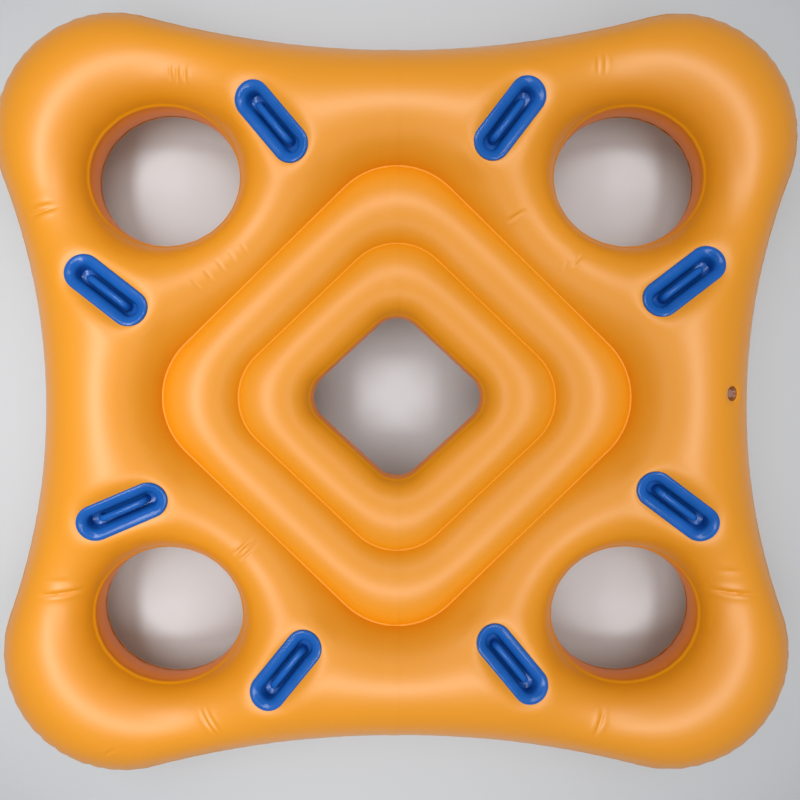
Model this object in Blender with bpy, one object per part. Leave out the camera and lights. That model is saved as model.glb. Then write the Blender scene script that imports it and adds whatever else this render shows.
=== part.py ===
"""A four-seat inflatable pool ring of welded sheet, lying flat and ready for use.

Each of the four bulging corners has a round seat hole. Two inner webs draw the middle into two
cushioned rings around a diamond opening. Eight moulded grab handles and one valve sit in the top.
+X is the right side, +Y the rear and +Z up. The ring rests on z = 0, centred on the origin.
"""
from math import asin, atan2, cos, hypot, pi, radians, sin

import bmesh
import bpy
import numpy as np
from mathutils import Matrix, Vector
from mathutils.geometry import delaunay_2d_cdt

# Outline at half height, in metres
OVERALL_WIDTH = 1.95
OVERALL_LENGTH = 1.86
CORNER_RADIUS = 0.297
SIDE_DRAW_IN = 0.114
END_DRAW_IN = 0.088

# Seat holes, measured along their welds; each centre is set in from the outline's extremes
SEAT_WIDTH = 0.370
SEAT_LENGTH = 0.342
SEAT_INSET_X = 0.413
SEAT_INSET_Y = 0.395

# Rounded diamonds: the two welded valleys and the opening in the middle
OUTER_SEAM_WIDTH = 1.128
OUTER_SEAM_LENGTH = 1.108
OUTER_SEAM_RADIUS = 0.180
INNER_SEAM_WIDTH = 0.767
INNER_SEAM_LENGTH = 0.743
INNER_SEAM_RADIUS = 0.139
CENTRE_WIDTH = 0.430
CENTRE_LENGTH = 0.408
CENTRE_RADIUS = 0.073

# Sheet, bands and webs
SHEET = 0.0009
BAND_HEIGHT = 0.090
BAND_BULGE = 0.008
OUTER_WEB_HEIGHT = 0.140
INNER_WEB_HEIGHT = 0.124
SEAM_LAND = 0.008
WEB_FOLD = 0.007
VENT_DIAMETER = 0.040
VENT_CUT_DEPTH = 0.042
REST_FLAT = 0.005

# Gaps that keep neighbouring pieces apart
SEAT_GAP = 0.0003
BUTT_GAP = 0.0004
BAND_GAP = 0.0008

# Grab handles
HANDLE_LENGTH = 0.222
HANDLE_WIDTH = 0.087
FLANGE_THICKNESS = 0.0030
RIM_HEIGHT = 0.0020
RIM_WIDTH = 0.0100
RIM_SLOPE = 0.0025
MOUTH_BORDER = 0.0170
CUP_DEPTH = 0.036
CUP_DRAFT = 0.007
CUP_WALL = 0.0025
GRIP_RADIUS = 0.0078
GRIP_SPAN = 0.112
GRIP_BEND = 0.015
GRIP_DEPTH = 0.0090
CUT_CLEARANCE = 0.0006
FLANGE_MARGIN = 0.004

# Valve; depths are measured down from the skin's outer face
VALVE_MOUTH_RADIUS = 0.0175
VALVE_FLANGE_RADIUS = 0.0240
VALVE_FLANGE_THICKNESS = 0.0012
COLLAR_RADIUS = 0.0125
COLLAR_WALL = 0.0020
COLLAR_TOP = 0.0065
COLLAR_BOTTOM = 0.0220
STEM_CLEARANCE = 0.0004
STEM_BORE_RADIUS = 0.0070
STEM_TRAVEL = 0.012
FOOT_RADIUS = 0.0165
FOOT_THICKNESS = 0.0015
PLUG_RADIUS = 0.0098
PLUG_THICKNESS = 0.0016
PLUG_SHANK_RADIUS = 0.0064
PLUG_SHANK_TIP = 0.0050
PLUG_SHANK_LENGTH = 0.0065
STRAP_WIDTH = 0.0050
STRAP_ROOT = 0.0018
HINGE_OFFSET = 0.0110
FLAP_RADIUS = 0.0095
FLAP_THICKNESS = 0.0009

# Fineness of the curves: facets in each arc or straight side
CORNER_STEPS = 8
DRAW_IN_STEPS = 4
SEAT_STEPS = 20
TIP_STEPS = 3
OUTER_SEAM_STEPS = 4
INNER_SEAM_STEPS = 3
CENTRE_STEPS = 2
HANDLE_END_STEPS = 6
GRIP_SIDES = 8
GRIP_BEND_STEPS = 3
VALVE_STEPS = 18
VALVE_SEAT_STEPS = 6
VENT_SIDES = 8

# Fineness of the inflated sheets: turns of a tube's section at its rows, and room between points
BODY_TURNS = (pi / 6, pi / 3)
CUSHION_TURNS = (pi / 4,)
ROW_SPACING = 0.030
RIDGE_SPACING = 0.070
FITTING_SPACING = 0.012
MARCH_POINTS = 250
MARCH_SKIP = 3
SMOOTH_ANGLE = radians(40)

# Lengths below this count as nothing
TINY = 1e-6

# Handles on the ends and on the sides: name, corner as (side, end), distance from the seat's centre
# towards the side's or end's middle, distance in from its waist, and turn of the long axis from +X
END_HANDLES = (
    ("handle_rear_left", (-1, 1), 0.274, 0.205, -49.2),
    ("handle_rear_right", (1, 1), 0.303, 0.199, 52.2),
    ("handle_front_left", (-1, -1), 0.301, 0.206, 50.8),
    ("handle_front_right", (1, -1), 0.291, 0.219, -50.4),
)
SIDE_HANDLES = (
    ("handle_left_rear", (-1, 1), 0.284, 0.190, -38.1),
    ("handle_left_front", (-1, -1), 0.272, 0.219, 22.7),
    ("handle_right_rear", (1, 1), 0.263, 0.196, 37.8),
    ("handle_right_front", (1, -1), 0.284, 0.205, -37.0),
)
VALVE_IN_FROM_WAIST = 0.081
VALVE_ALONG = 0.012

# Places that follow from the sizes above
HALF_BAND = BAND_HEIGHT / 2
CORNER_X = OVERALL_WIDTH / 2 - CORNER_RADIUS
CORNER_Y = OVERALL_LENGTH / 2 - CORNER_RADIUS
WAIST_X = OVERALL_WIDTH / 2 - SIDE_DRAW_IN
WAIST_Y = OVERALL_LENGTH / 2 - END_DRAW_IN
SEAT_X = OVERALL_WIDTH / 2 - SEAT_INSET_X
SEAT_Y = OVERALL_LENGTH / 2 - SEAT_INSET_Y
OUTER_SEAM = (OUTER_SEAM_WIDTH / 2, OUTER_SEAM_LENGTH / 2, OUTER_SEAM_RADIUS)
INNER_SEAM = (INNER_SEAM_WIDTH / 2, INNER_SEAM_LENGTH / 2, INNER_SEAM_RADIUS)
CENTRE = (CENTRE_WIDTH / 2, CENTRE_LENGTH / 2, CENTRE_RADIUS)
SEATS = {
    "rear_left": (-1, 1),
    "rear_right": (1, 1),
    "front_left": (-1, -1),
    "front_right": (1, -1),
}

# Finishes: colour and roughness
SHEET_VINYL = ((0.86, 0.31, 0.022, 1.0), 0.38)
WALL_VINYL = ((0.76, 0.22, 0.015, 1.0), 0.42)
BLUE_PLASTIC = ((0.008, 0.085, 0.37, 1.0), 0.22)
CLEAR_PLASTIC = ((0.72, 0.56, 0.50, 1.0), 0.28)


def clear_scene():
    for thing in list(bpy.data.objects):
        bpy.data.objects.remove(thing, do_unlink=True)


def make_material(name, finish):
    """A Principled material of its own for one sub-part."""
    colour, roughness = finish
    paint = bpy.data.materials.new(name)
    paint.use_nodes = True
    shader = paint.node_tree.nodes["Principled BSDF"]
    shader.inputs["Base Color"].default_value = colour
    shader.inputs["Roughness"].default_value = roughness
    shader.inputs["Metallic"].default_value = 0.0
    paint.diffuse_color = colour
    return paint


def add_object(name, bm, finish, parent, matrix=None):
    """Turns a bmesh into a named object with its material, under a parent."""
    mesh = bpy.data.meshes.new(name)
    bm.to_mesh(mesh)
    bm.free()
    thing = bpy.data.objects.new(name, mesh)
    bpy.context.collection.objects.link(thing)
    mesh.materials.append(make_material(name, finish))
    mesh.shade_smooth()
    mesh.set_sharp_from_angle(angle=SMOOTH_ANGLE)
    thing.parent = parent
    if matrix is not None:
        thing.matrix_local = matrix
    return thing


def add_empty(name, parent, matrix):
    thing = bpy.data.objects.new(name, None)
    bpy.context.collection.objects.link(thing)
    thing.parent = parent
    thing.matrix_local = matrix
    return thing


def add_thickness(thing, thickness):
    """Gives an open skin its sheet thickness, inwards from the outer face."""
    skin = thing.modifiers.new("sheet thickness", "SOLIDIFY")
    skin.thickness = thickness
    skin.offset = -1.0
    skin.use_rim = True


def arc(centre, radius, start, stop, steps):
    """Points on a circle's arc, the last one left off."""
    turns = [start + (stop - start) * i / steps for i in range(steps)]
    return [(centre[0] + radius * cos(a), centre[1] + radius * sin(a)) for a in turns]


def mirrored_loop(quarter):
    """Closes a loop from its first quarter, which runs from the +X axis to the +Y axis."""
    second = [(-x, y) for x, y in reversed(quarter[:-1])]
    half = quarter + second
    return half + [(x, -y) for x, y in reversed(half[1:-1])]


def touching_radius(depth, reach):
    """The radius of the hollow arc that meets a round corner without a kink.

    Depth and reach are counted from the corner's centre to the deepest point of the hollow.
    """
    return (depth ** 2 + reach ** 2 - CORNER_RADIUS ** 2) / (2 * (CORNER_RADIUS - depth))


def outline(inset):
    """The body's outline: a round corner between two hollow sides, moved in by inset."""
    side_depth = WAIST_X - CORNER_X
    side_radius = touching_radius(side_depth, CORNER_Y)
    end_depth = WAIST_Y - CORNER_Y
    end_radius = touching_radius(end_depth, CORNER_X)
    side_turn = asin(CORNER_Y / (CORNER_RADIUS + side_radius))
    end_turn = asin(CORNER_X / (CORNER_RADIUS + end_radius))
    side = arc((WAIST_X + side_radius, 0.0), side_radius + inset, pi, pi - side_turn, DRAW_IN_STEPS)
    corner = arc((CORNER_X, CORNER_Y), CORNER_RADIUS - inset, -side_turn, pi / 2 + end_turn, CORNER_STEPS)
    end = arc((0.0, WAIST_Y + end_radius), end_radius + inset, end_turn - pi / 2, -pi / 2, DRAW_IN_STEPS)
    quarter = side + corner + end + [(0.0, WAIST_Y - inset)]
    return mirrored_loop(quarter)


def seat_loop(side, grow):
    """A seat hole's ellipse; a positive grow makes the hole larger."""
    across = SEAT_WIDTH / 2 + grow
    along = SEAT_LENGTH / 2 + grow
    turns = [2 * pi * i / SEAT_STEPS for i in range(SEAT_STEPS)]
    rear_right = [(SEAT_X + across * cos(a), SEAT_Y + along * sin(a)) for a in turns]
    placed = [(side[0] * x, side[1] * y) for x, y in rear_right]
    return placed if side[0] * side[1] > 0 else placed[::-1]


def diamond(shape, grow, flat_steps):
    """A rounded diamond with its tips on the axes; a positive grow moves it outwards."""
    reach_x, reach_y, tip_radius = shape
    tip_x = reach_x - tip_radius
    tip_y = reach_y - tip_radius
    radius = tip_radius + grow
    lean = atan2(tip_x, tip_y)
    right = arc((tip_x, 0.0), radius, 0.0, lean, TIP_STEPS)
    start = (tip_x + radius * cos(lean), radius * sin(lean))
    stop = (radius * cos(lean), tip_y + radius * sin(lean))
    shares = [i / flat_steps for i in range(flat_steps)]
    flat = [(start[0] + (stop[0] - start[0]) * t, start[1] + (stop[1] - start[1]) * t) for t in shares]
    top = arc((0.0, tip_y), radius, lean, pi / 2, TIP_STEPS)
    return mirrored_loop(right + flat + top + [(0.0, tip_y + radius)])


def distances(points, loop):
    """How far each point lies from a closed loop."""
    starts = np.array(loop)
    runs = np.roll(starts, -1, axis=0) - starts
    lengths = (runs ** 2).sum(axis=1)
    away = points[:, None, :] - starts[None, :, :]
    along = np.clip((away * runs).sum(axis=2) / lengths, 0.0, 1.0)
    gaps = away - along[:, :, None] * runs
    return np.sqrt((gaps ** 2).sum(axis=2)).min(axis=1)


def inside(points, loop):
    """Which points lie inside a closed loop."""
    corners = np.array(loop)
    ends = np.roll(corners, -1, axis=0)
    x = points[:, None, 0]
    y = points[:, None, 1]
    crosses = (corners[:, 1] > y) != (ends[:, 1] > y)
    rise = ends[:, 1] - corners[:, 1]
    rise = np.where(rise == 0, TINY ** 2, rise)
    meets = corners[:, 0] + (y - corners[:, 1]) * (ends[:, 0] - corners[:, 0]) / rise
    return (crosses & (x < meets)).sum(axis=1) % 2 == 1


def loop_normals(loop, inwards):
    """Unit normals at a loop's points, towards its inside or its outside."""
    corners = np.array(loop)
    runs = np.roll(corners, -1, axis=0) - np.roll(corners, 1, axis=0)
    left = np.stack([-runs[:, 1], runs[:, 0]], axis=1)
    left /= np.linalg.norm(left, axis=1)[:, None]
    return left if inwards else -left


def chamber_rows(outer, inners, section_turns):
    """Rows of points between a chamber's edges, graded for a round section.

    From each edge point a line runs straight in to where another edge is as near: half the width
    of the tube there. The points on it divide the quarter circle into equal turns. One quarter of
    the plan is worked out and mirrored, and a point close to an axis is moved onto it.
    """
    loops = [(outer, True)] + [(loop, False) for loop in inners]
    steps = np.linspace(0.0, OVERALL_WIDTH / 4, MARCH_POINTS)[MARCH_SKIP:]
    ridge = []
    rows = []
    for number, (loop, inwards) in enumerate(loops):
        others = [other for place, (other, _) in enumerate(loops) if place != number]
        for (x, y), normal in zip(loop, loop_normals(loop, inwards)):
            if x < -TINY or y < -TINY:
                continue
            trail = np.array((x, y)) + steps[:, None] * normal
            nearest = np.min([distances(trail, other) for other in others], axis=0)
            half_width = steps[np.argmax(nearest <= steps)]
            for turn in section_turns:
                rows.append((x, y) + normal * half_width * (1 - cos(turn)))
            ridge.append((x, y) + normal * half_width)
    kept = []
    for spots, room in ((rows, ROW_SPACING), (ridge, RIDGE_SPACING)):
        for spot in spots:
            x, y = (0.0 if reach < ROW_SPACING / 2 else reach for reach in spot)
            clear = all(hypot(x - other_x, y - other_y) > room for other_x, other_y in kept)
            if clear and min(spot) > -TINY:
                kept.append((x, y))
    points = set()
    for x, y in kept:
        points.update({(x, y), (-x, y), (x, -y), (-x, -y)})
    return sorted(points)


def sheet_edges():
    """Every edge and weld line of the top and bottom sheets, with its height over the middle."""
    weld = HALF_BAND + BAND_GAP / 2
    edges = [(outline(BAND_BULGE), weld)]
    edges += [(seat_loop(side, 0.0), weld) for side in SEATS.values()]
    land = SEAM_LAND / 2
    for grow in (land, -land):
        edges.append((diamond(OUTER_SEAM, grow, OUTER_SEAM_STEPS), OUTER_WEB_HEIGHT / 2))
    for grow in (land, -land):
        edges.append((diamond(INNER_SEAM, grow, INNER_SEAM_STEPS), INNER_WEB_HEIGHT / 2))
    edges.append((diamond(CENTRE, 0.0, CENTRE_STEPS), weld))
    return edges


def inflated_height(points, triangles, fixed):
    """Heights of a sheet blown up between edges held at the heights in fixed.

    The membrane equation is solved on the flat mesh, and the root of twice its answer gives every
    straight tube a round section through both of its edges.
    """
    count = len(points)
    stiffness = np.zeros((count, count))
    load = np.zeros(count)
    corners = points[triangles]
    for spots, ids in zip(corners, triangles):
        run, rise = (np.roll(spots, -2, axis=0) - np.roll(spots, -1, axis=0)).T
        area = abs(run[2] * rise[1] - run[1] * rise[2]) / 2
        stiffness[np.ix_(ids, ids)] += (np.outer(rise, rise) + np.outer(run, run)) / (4 * area)
        load[ids] += area / 3
    held = np.array(sorted(fixed))
    values = np.array([fixed[i] ** 2 / 2 for i in held])
    free = np.setdiff1d(np.arange(count), held)
    answer = np.zeros(count)
    answer[held] = values
    push = load[free] - stiffness[np.ix_(free, held)] @ values
    answer[free] = np.linalg.solve(stiffness[np.ix_(free, free)], push)
    return np.sqrt(2 * answer)


class Sheet:
    """A sheet's mesh, seen from above: points, heights over the middle, and triangles."""

    def __init__(self, fittings):
        edges = sheet_edges()
        self.points, self.triangles, held, seats = lay_out(edges, fittings)
        self.heights = inflated_height(self.points, self.triangles, held)
        for number, fitting in seats.items():
            self.heights[number] = fitting.plane_height(self.points[number])
        centres = self.points[self.triangles].mean(axis=1)
        gone = np.zeros(len(centres), bool)
        for fitting in fittings:
            gone |= inside(centres, fitting.cut_loop())
        self.triangles = self.triangles[~gone]

    def height_at(self, x, y):
        """The sheet's height over the middle at one place."""
        a, b, c = (self.points[self.triangles[:, i]] for i in range(3))
        spot = np.array((x, y))
        whole = cross(b - a, c - a)
        shares = np.stack([cross(b - spot, c - spot), cross(c - spot, a - spot), cross(a - spot, b - spot)])
        shares = shares / whole
        best = int(np.argmax(shares.min(axis=0)))
        return float(shares[:, best] @ self.heights[self.triangles[best]])


def cross(first, second):
    return first[..., 0] * second[..., 1] - first[..., 1] * second[..., 0]


def lay_out(edges, fittings):
    """Meshes the plan of a sheet.

    Gives the points, the triangles, the height held at each edge point, and the fitting that each
    point of a fitting's seat belongs to.
    """
    loops = [loop for loop, _ in edges]
    chambers = (
        (loops[0], loops[1:6], BODY_TURNS),
        (loops[6], [loops[7]], CUSHION_TURNS),
        (loops[8], [loops[9]], CUSHION_TURNS),
    )
    coords = []
    lines = []
    heights = {}
    owners = {}

    def add_loop(loop):
        first = len(coords)
        coords.extend(loop)
        count = len(loop)
        lines.extend((first + i, first + (i + 1) % count) for i in range(count))
        return range(first, first + count)

    for loop, height in edges:
        for number in add_loop(loop):
            heights[number] = height
    for fitting in fittings:
        for loop in (fitting.seat_loop(), fitting.cut_loop()):
            for number in add_loop(loop):
                owners[number] = fitting
    filling = [spot for chamber in chambers for spot in chamber_rows(*chamber)]
    spots = np.array(filling)
    keep = np.ones(len(spots), bool)
    for fitting in fittings:
        clear = distances(spots, fitting.seat_loop()) > FITTING_SPACING
        keep &= ~inside(spots, fitting.seat_loop()) & clear
    coords.extend(tuple(spot) for spot in spots[keep])

    middle = sorted((y, i) for i, (x, y) in enumerate(coords) if abs(x) < TINY)
    for (y, first), (next_y, second) in zip(middle, middle[1:]):
        if min(abs(y), abs(next_y)) >= CENTRE[1] - TINY and y * next_y > 0:
            lines.append((first, second))

    flat = [Vector(spot) for spot in coords]
    found, _, faces, origins, _, _ = delaunay_2d_cdt(flat, lines, [], 0, TINY)
    points = np.array([tuple(spot) for spot in found])
    triangles = np.array(faces)
    centres = points[triangles].mean(axis=1)
    keep = inside(centres, loops[0]) & ~inside(centres, loops[9])
    for loop in loops[1:5]:
        keep &= ~inside(centres, loop)
    held = {i: heights[o[0]] for i, o in enumerate(origins) if o and o[0] in heights}
    seats = {i: owners[o[0]] for i, o in enumerate(origins) if o and o[0] in owners}
    return points, triangles[keep], held, seats


class Fitting:
    """A handle's or valve's place: a flat seat that follows the slope of the sheet."""

    def __init__(self, name, x, y, turn, seat, cut, steps):
        self.name = name
        self.centre = np.array((x, y))
        self.turn = turn
        self.seat = seat
        self.cut = cut
        self.steps = steps
        self.matrix = Matrix.Translation((x, y, 0.0)) @ Matrix.Rotation(turn, 4, "Z")

    def settle(self, sheet):
        """Fits the seat's plane to the sheet under the flange."""
        spots = np.array(self.seat_loop() + self.cut_loop() + [tuple(self.centre)])
        levels = np.array([sheet.height_at(x, y) for x, y in spots])
        table = np.column_stack([np.ones(len(spots)), spots - self.centre])
        self.level, self.slope_x, self.slope_y = np.linalg.lstsq(table, levels, rcond=None)[0]
        normal = Vector((-self.slope_x, -self.slope_y, 1.0)).normalized()
        ahead = Vector((cos(self.turn), sin(self.turn), 0.0))
        ahead = (ahead - normal * ahead.dot(normal)).normalized()
        across = normal.cross(ahead)
        turned = Matrix((ahead, across, normal)).transposed().to_4x4()
        self.matrix = Matrix.Translation((*self.centre, self.level)) @ turned

    def plane_height(self, spot):
        away_x, away_y = spot - self.centre
        return self.level + self.slope_x * away_x + self.slope_y * away_y

    def plan(self, loop):
        """A loop on the seat, seen from straight above."""
        placed = [self.matrix @ Vector((x, y, 0.0)) for x, y in loop]
        return [(spot.x, spot.y) for spot in placed]

    def seat_loop(self):
        return self.plan(stadium(*self.seat, self.steps, True))

    def cut_loop(self):
        return self.plan(stadium(*self.cut, self.steps, True))


def stadium(length, width, end_steps, split_sides=False):
    """A slot outline with round ends along X; a round one when both sizes are equal."""
    radius = width / 2
    reach = length / 2 - radius
    if reach < TINY:
        return arc((0.0, 0.0), radius, 0.0, 2 * pi, 2 * end_steps)
    right = arc((reach, 0.0), radius, -pi / 2, pi / 2, end_steps) + [(reach, radius)]
    left = [(-x, -y) for x, y in right]
    if split_sides:
        right = right + [(0.0, radius)]
        left = left + [(0.0, -radius)]
    return right + left


def rest_on_floor(bm, depth):
    """Flattens the parts of a hanging skin that the floor stops, with an edge around each."""
    everything = bm.verts[:] + bm.edges[:] + bm.faces[:]
    floor = (0.0, 0.0, -depth)
    bmesh.ops.bisect_plane(bm, geom=everything, dist=TINY, plane_co=floor, plane_no=(0.0, 0.0, 1.0))
    for vert in bm.verts:
        vert.co.z = max(vert.co.z, -depth)


def half_skin(sheet, side, upward):
    """One half of a sheet as an open skin: side is 1 for the right half and -1 for the left."""
    bm = bmesh.new()
    centres = sheet.points[sheet.triangles].mean(axis=1)
    chosen = sheet.triangles[centres[:, 0] * side > 0]
    made = {}
    for number in sorted(set(chosen.ravel())):
        x, y = sheet.points[number]
        if abs(x) < TINY:
            x = side * BUTT_GAP / 2
        made[number] = bm.verts.new((x, y, upward * sheet.heights[number]))
    for triangle in chosen:
        bm.faces.new([made[number] for number in triangle])
    bmesh.ops.recalc_face_normals(bm, faces=bm.faces)
    if sum(face.normal.z * face.calc_area() for face in bm.faces) * upward < 0:
        bmesh.ops.reverse_faces(bm, faces=bm.faces)
    return bm


def loft(bm, rings, closed=True, capped=False):
    """Joins rings of points with faces; closed joins each ring's last point to its first."""
    made = [[bm.verts.new(spot) for spot in ring] for ring in rings]
    count = len(rings[0])
    for lower, upper in zip(made, made[1:]):
        for i in range(count if closed else count - 1):
            j = (i + 1) % count
            bm.faces.new((lower[i], lower[j], upper[j], upper[i]))
    if capped:
        bm.faces.new(list(reversed(made[0])))
        bm.faces.new(made[-1])
    return made


def band_rings(loop_at):
    """Rings of an upright band that swells by the bulge between its two welds."""
    reach = HALF_BAND - BAND_GAP / 2
    rings = []
    for swell, z in ((0.0, -reach), (BAND_BULGE, 0.0), (0.0, reach)):
        rings.append([(x, y, z) for x, y in loop_at(swell)])
    return rings


def face_inwards(bm):
    """Turns the faces of an upright ring towards its middle, where the opening is."""
    bmesh.ops.recalc_face_normals(bm, faces=bm.faces)
    middle = sum((vert.co for vert in bm.verts), Vector()) / len(bm.verts)
    total = 0.0
    for face in bm.faces:
        total += face.normal.dot(face.calc_center_median() - middle) * face.calc_area()
    if total > 0:
        bmesh.ops.reverse_faces(bm, faces=bm.faces)


def make_side_band(name, side, root):
    """Half of the outer band, from the front middle around one side to the rear middle."""
    def half(swell):
        loop = outline(BAND_BULGE - swell)
        half_loop = [spot for spot in loop if spot[0] * side > TINY]
        half_loop.sort(key=lambda spot: atan2(spot[1], abs(spot[0])))
        waist = WAIST_Y - (BAND_BULGE - swell)
        ends = side * BUTT_GAP / 2
        return [(ends, -waist)] + half_loop + [(ends, waist)]

    bm = bmesh.new()
    loft(bm, band_rings(half), closed=False)
    bmesh.ops.recalc_face_normals(bm, faces=bm.faces)
    total = sum(face.normal.x * face.calc_area() for face in bm.faces)
    if total * side < 0:
        bmesh.ops.reverse_faces(bm, faces=bm.faces)
    band = add_object(name, bm, SHEET_VINYL, root)
    add_thickness(band, SHEET)


def make_seat_wall(name, side, root):
    """The upright band around one seat hole; it swells into the hole."""
    bm = bmesh.new()
    loft(bm, band_rings(lambda swell: seat_loop(side, -swell)))
    face_inwards(bm)
    wall = add_object(name, bm, WALL_VINYL, root)
    add_thickness(wall, SHEET)


def make_centre_wall(root):
    bm = bmesh.new()
    loft(bm, band_rings(lambda swell: diamond(CENTRE, -swell, CENTRE_STEPS)))
    face_inwards(bm)
    wall = add_object("centre_wall", bm, WALL_VINYL, root)
    add_thickness(wall, SHEET)


def make_web(name, shape, height, root):
    """An inner web: an upright strip with both edges folded in for the welds, and air vents."""
    top = height / 2 - SHEET - SEAT_GAP
    outer = WEB_FOLD / 2
    section = [
        (outer, top), (outer, -top), (-outer, -top), (-outer, SHEET - top),
        (outer - SHEET, SHEET - top), (outer - SHEET, top - SHEET), (-outer, top - SHEET), (-outer, top),
    ]
    bm = bmesh.new()
    loops = [[(x, y, z) for x, y in diamond(shape, grow, 1)] for grow, z in section]
    loft(bm, loops + [loops[0]])
    bmesh.ops.remove_doubles(bm, verts=bm.verts, dist=TINY)
    bmesh.ops.recalc_face_normals(bm, faces=bm.faces)
    web = add_object(name, bm, WALL_VINYL, root)
    reach_x, reach_y, radius = shape
    lean = atan2(reach_x - radius, reach_y - radius)
    spot = ((reach_x - radius) / 2 + radius * cos(lean), (reach_y - radius) / 2 + radius * sin(lean))
    for number, (side_x, side_y) in enumerate(SEATS.values()):
        cutter_mesh = bmesh.new()
        bmesh.ops.create_cone(
            cutter_mesh, cap_ends=True, segments=VENT_SIDES, radius1=VENT_DIAMETER / 2,
            radius2=VENT_DIAMETER / 2, depth=VENT_CUT_DEPTH,
        )
        lie = Matrix.Rotation(atan2(side_y * sin(lean), side_x * cos(lean)), 4, "Z")
        place = Matrix.Translation((side_x * spot[0], side_y * spot[1], 0.0)) @ lie
        place = place @ Matrix.Rotation(pi / 2, 4, "Y") @ Matrix.Rotation(pi / VENT_SIDES, 4, "Z")
        cutter = add_object(f"{name}_vent_cutter_{number}", cutter_mesh, WALL_VINYL, root, place)
        cutter.hide_render = True
        cutter.display_type = "WIRE"
        cut = web.modifiers.new("vent", "BOOLEAN")
        cut.operation = "DIFFERENCE"
        cut.object = cutter


def handle_rings():
    """The moulding's rings, from the flange's underside over the rim and down into the cup.

    The rim's outer edge leans in as far as it rises.
    """
    top = FLANGE_THICKNESS
    crest = FLANGE_THICKNESS + RIM_HEIGHT
    floor = -CUP_DEPTH + CUP_WALL
    steps = (
        (MOUTH_BORDER - CUP_WALL, 0.0),
        (0.0, 0.0),
        (0.0, top),
        (RIM_HEIGHT, crest),
        (RIM_WIDTH, crest),
        (RIM_WIDTH + RIM_SLOPE, top),
        (MOUTH_BORDER, top - SEAT_GAP),
        (MOUTH_BORDER + CUP_DRAFT, floor),
    )
    rings = []
    for inset, z in steps:
        loop = stadium(HANDLE_LENGTH - 2 * inset, HANDLE_WIDTH - 2 * inset, HANDLE_END_STEPS)
        rings.append([(x, y, z) for x, y in loop])
    return rings


def cup_underside():
    """The cup's outer rings, from under the flange down to its closed bottom."""
    rings = []
    for inset, z in ((MOUTH_BORDER - CUP_WALL, 0.0), (MOUTH_BORDER + CUP_DRAFT - CUP_WALL, -CUP_DEPTH)):
        loop = stadium(HANDLE_LENGTH - 2 * inset, HANDLE_WIDTH - 2 * inset, HANDLE_END_STEPS)
        rings.append([(x, y, z) for x, y in loop])
    return rings


def grip_path():
    """The grip's centre line: up from the cup's floor, along, and down again."""
    foot = -CUP_DEPTH + CUP_WALL / 2
    top = -GRIP_DEPTH
    leg = GRIP_SPAN / 2
    turns = [pi / 2 * i / GRIP_BEND_STEPS for i in range(GRIP_BEND_STEPS + 1)]
    right = [(leg, foot, 0.0)]
    for a in turns:
        spot = (leg - GRIP_BEND + GRIP_BEND * cos(a), top - GRIP_BEND + GRIP_BEND * sin(a), a)
        right.append(spot)
    left = [(-x, z, pi - a) for x, z, a in reversed(right)]
    return right + left


def make_grip_mesh():
    bm = bmesh.new()
    rings = []
    for x, z, a in grip_path():
        ring = []
        for i in range(GRIP_SIDES):
            turn = 2 * pi * (i + 0.5) / GRIP_SIDES
            out = GRIP_RADIUS * cos(turn)
            ring.append((x + out * cos(a), GRIP_RADIUS * sin(turn), z + out * sin(a)))
        rings.append(ring)
    loft(bm, rings, capped=True)
    bmesh.ops.recalc_face_normals(bm, faces=bm.faces)
    return bm


def make_handles(fittings, root):
    """One moulding for each place: a rimmed flange, a deep cup and a grip bridging it."""
    bm = bmesh.new()
    inner = loft(bm, handle_rings())
    bm.faces.new(inner[-1])
    under = loft(bm, cup_underside())
    bm.faces.new(under[-1])
    bmesh.ops.remove_doubles(bm, verts=bm.verts, dist=TINY)
    bmesh.ops.recalc_face_normals(bm, faces=bm.faces)
    for fitting in fittings:
        place = fitting.matrix @ Matrix.Translation((0.0, 0.0, SEAT_GAP))
        moulding = add_object(fitting.name, bm.copy(), BLUE_PLASTIC, root, place)
        own_grip = add_object(f"{fitting.name}_grip_cutter", make_grip_mesh(), BLUE_PLASTIC, root, place)
        own_grip.hide_render = True
        own_grip.display_type = "WIRE"
        join = moulding.modifiers.new("grip", "BOOLEAN")
        join.operation = "UNION"
        join.object = own_grip
    bm.free()


def turned(profile, steps=VALVE_STEPS):
    """A solid turned around Z from a closed profile of radius and height."""
    bm = bmesh.new()
    rings = []
    for radius, z in profile:
        turns = [2 * pi * (i + 0.5) / steps for i in range(steps)]
        rings.append([(radius * cos(a), radius * sin(a), z) for a in turns])
    loft(bm, rings + [rings[0]])
    bmesh.ops.remove_doubles(bm, verts=bm.verts, dist=TINY)
    bmesh.ops.recalc_face_normals(bm, faces=bm.faces)
    return bm


def add_block(bm, low, high):
    """Adds a box between two corners."""
    size = Vector(high) - Vector(low)
    place = Matrix.Translation((Vector(high) + Vector(low)) / 2) @ Matrix.Diagonal((*size, 1.0))
    bmesh.ops.create_cube(bm, size=1.0, matrix=place)


def join_shape(thing, name, bm, parent):
    """Unites a second shape with an object."""
    tool = add_object(name, bm, CLEAR_PLASTIC, parent)
    tool.hide_render = True
    tool.display_type = "WIRE"
    join = thing.modifiers.new(name, "BOOLEAN")
    join.operation = "UNION"
    join.object = tool


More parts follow.
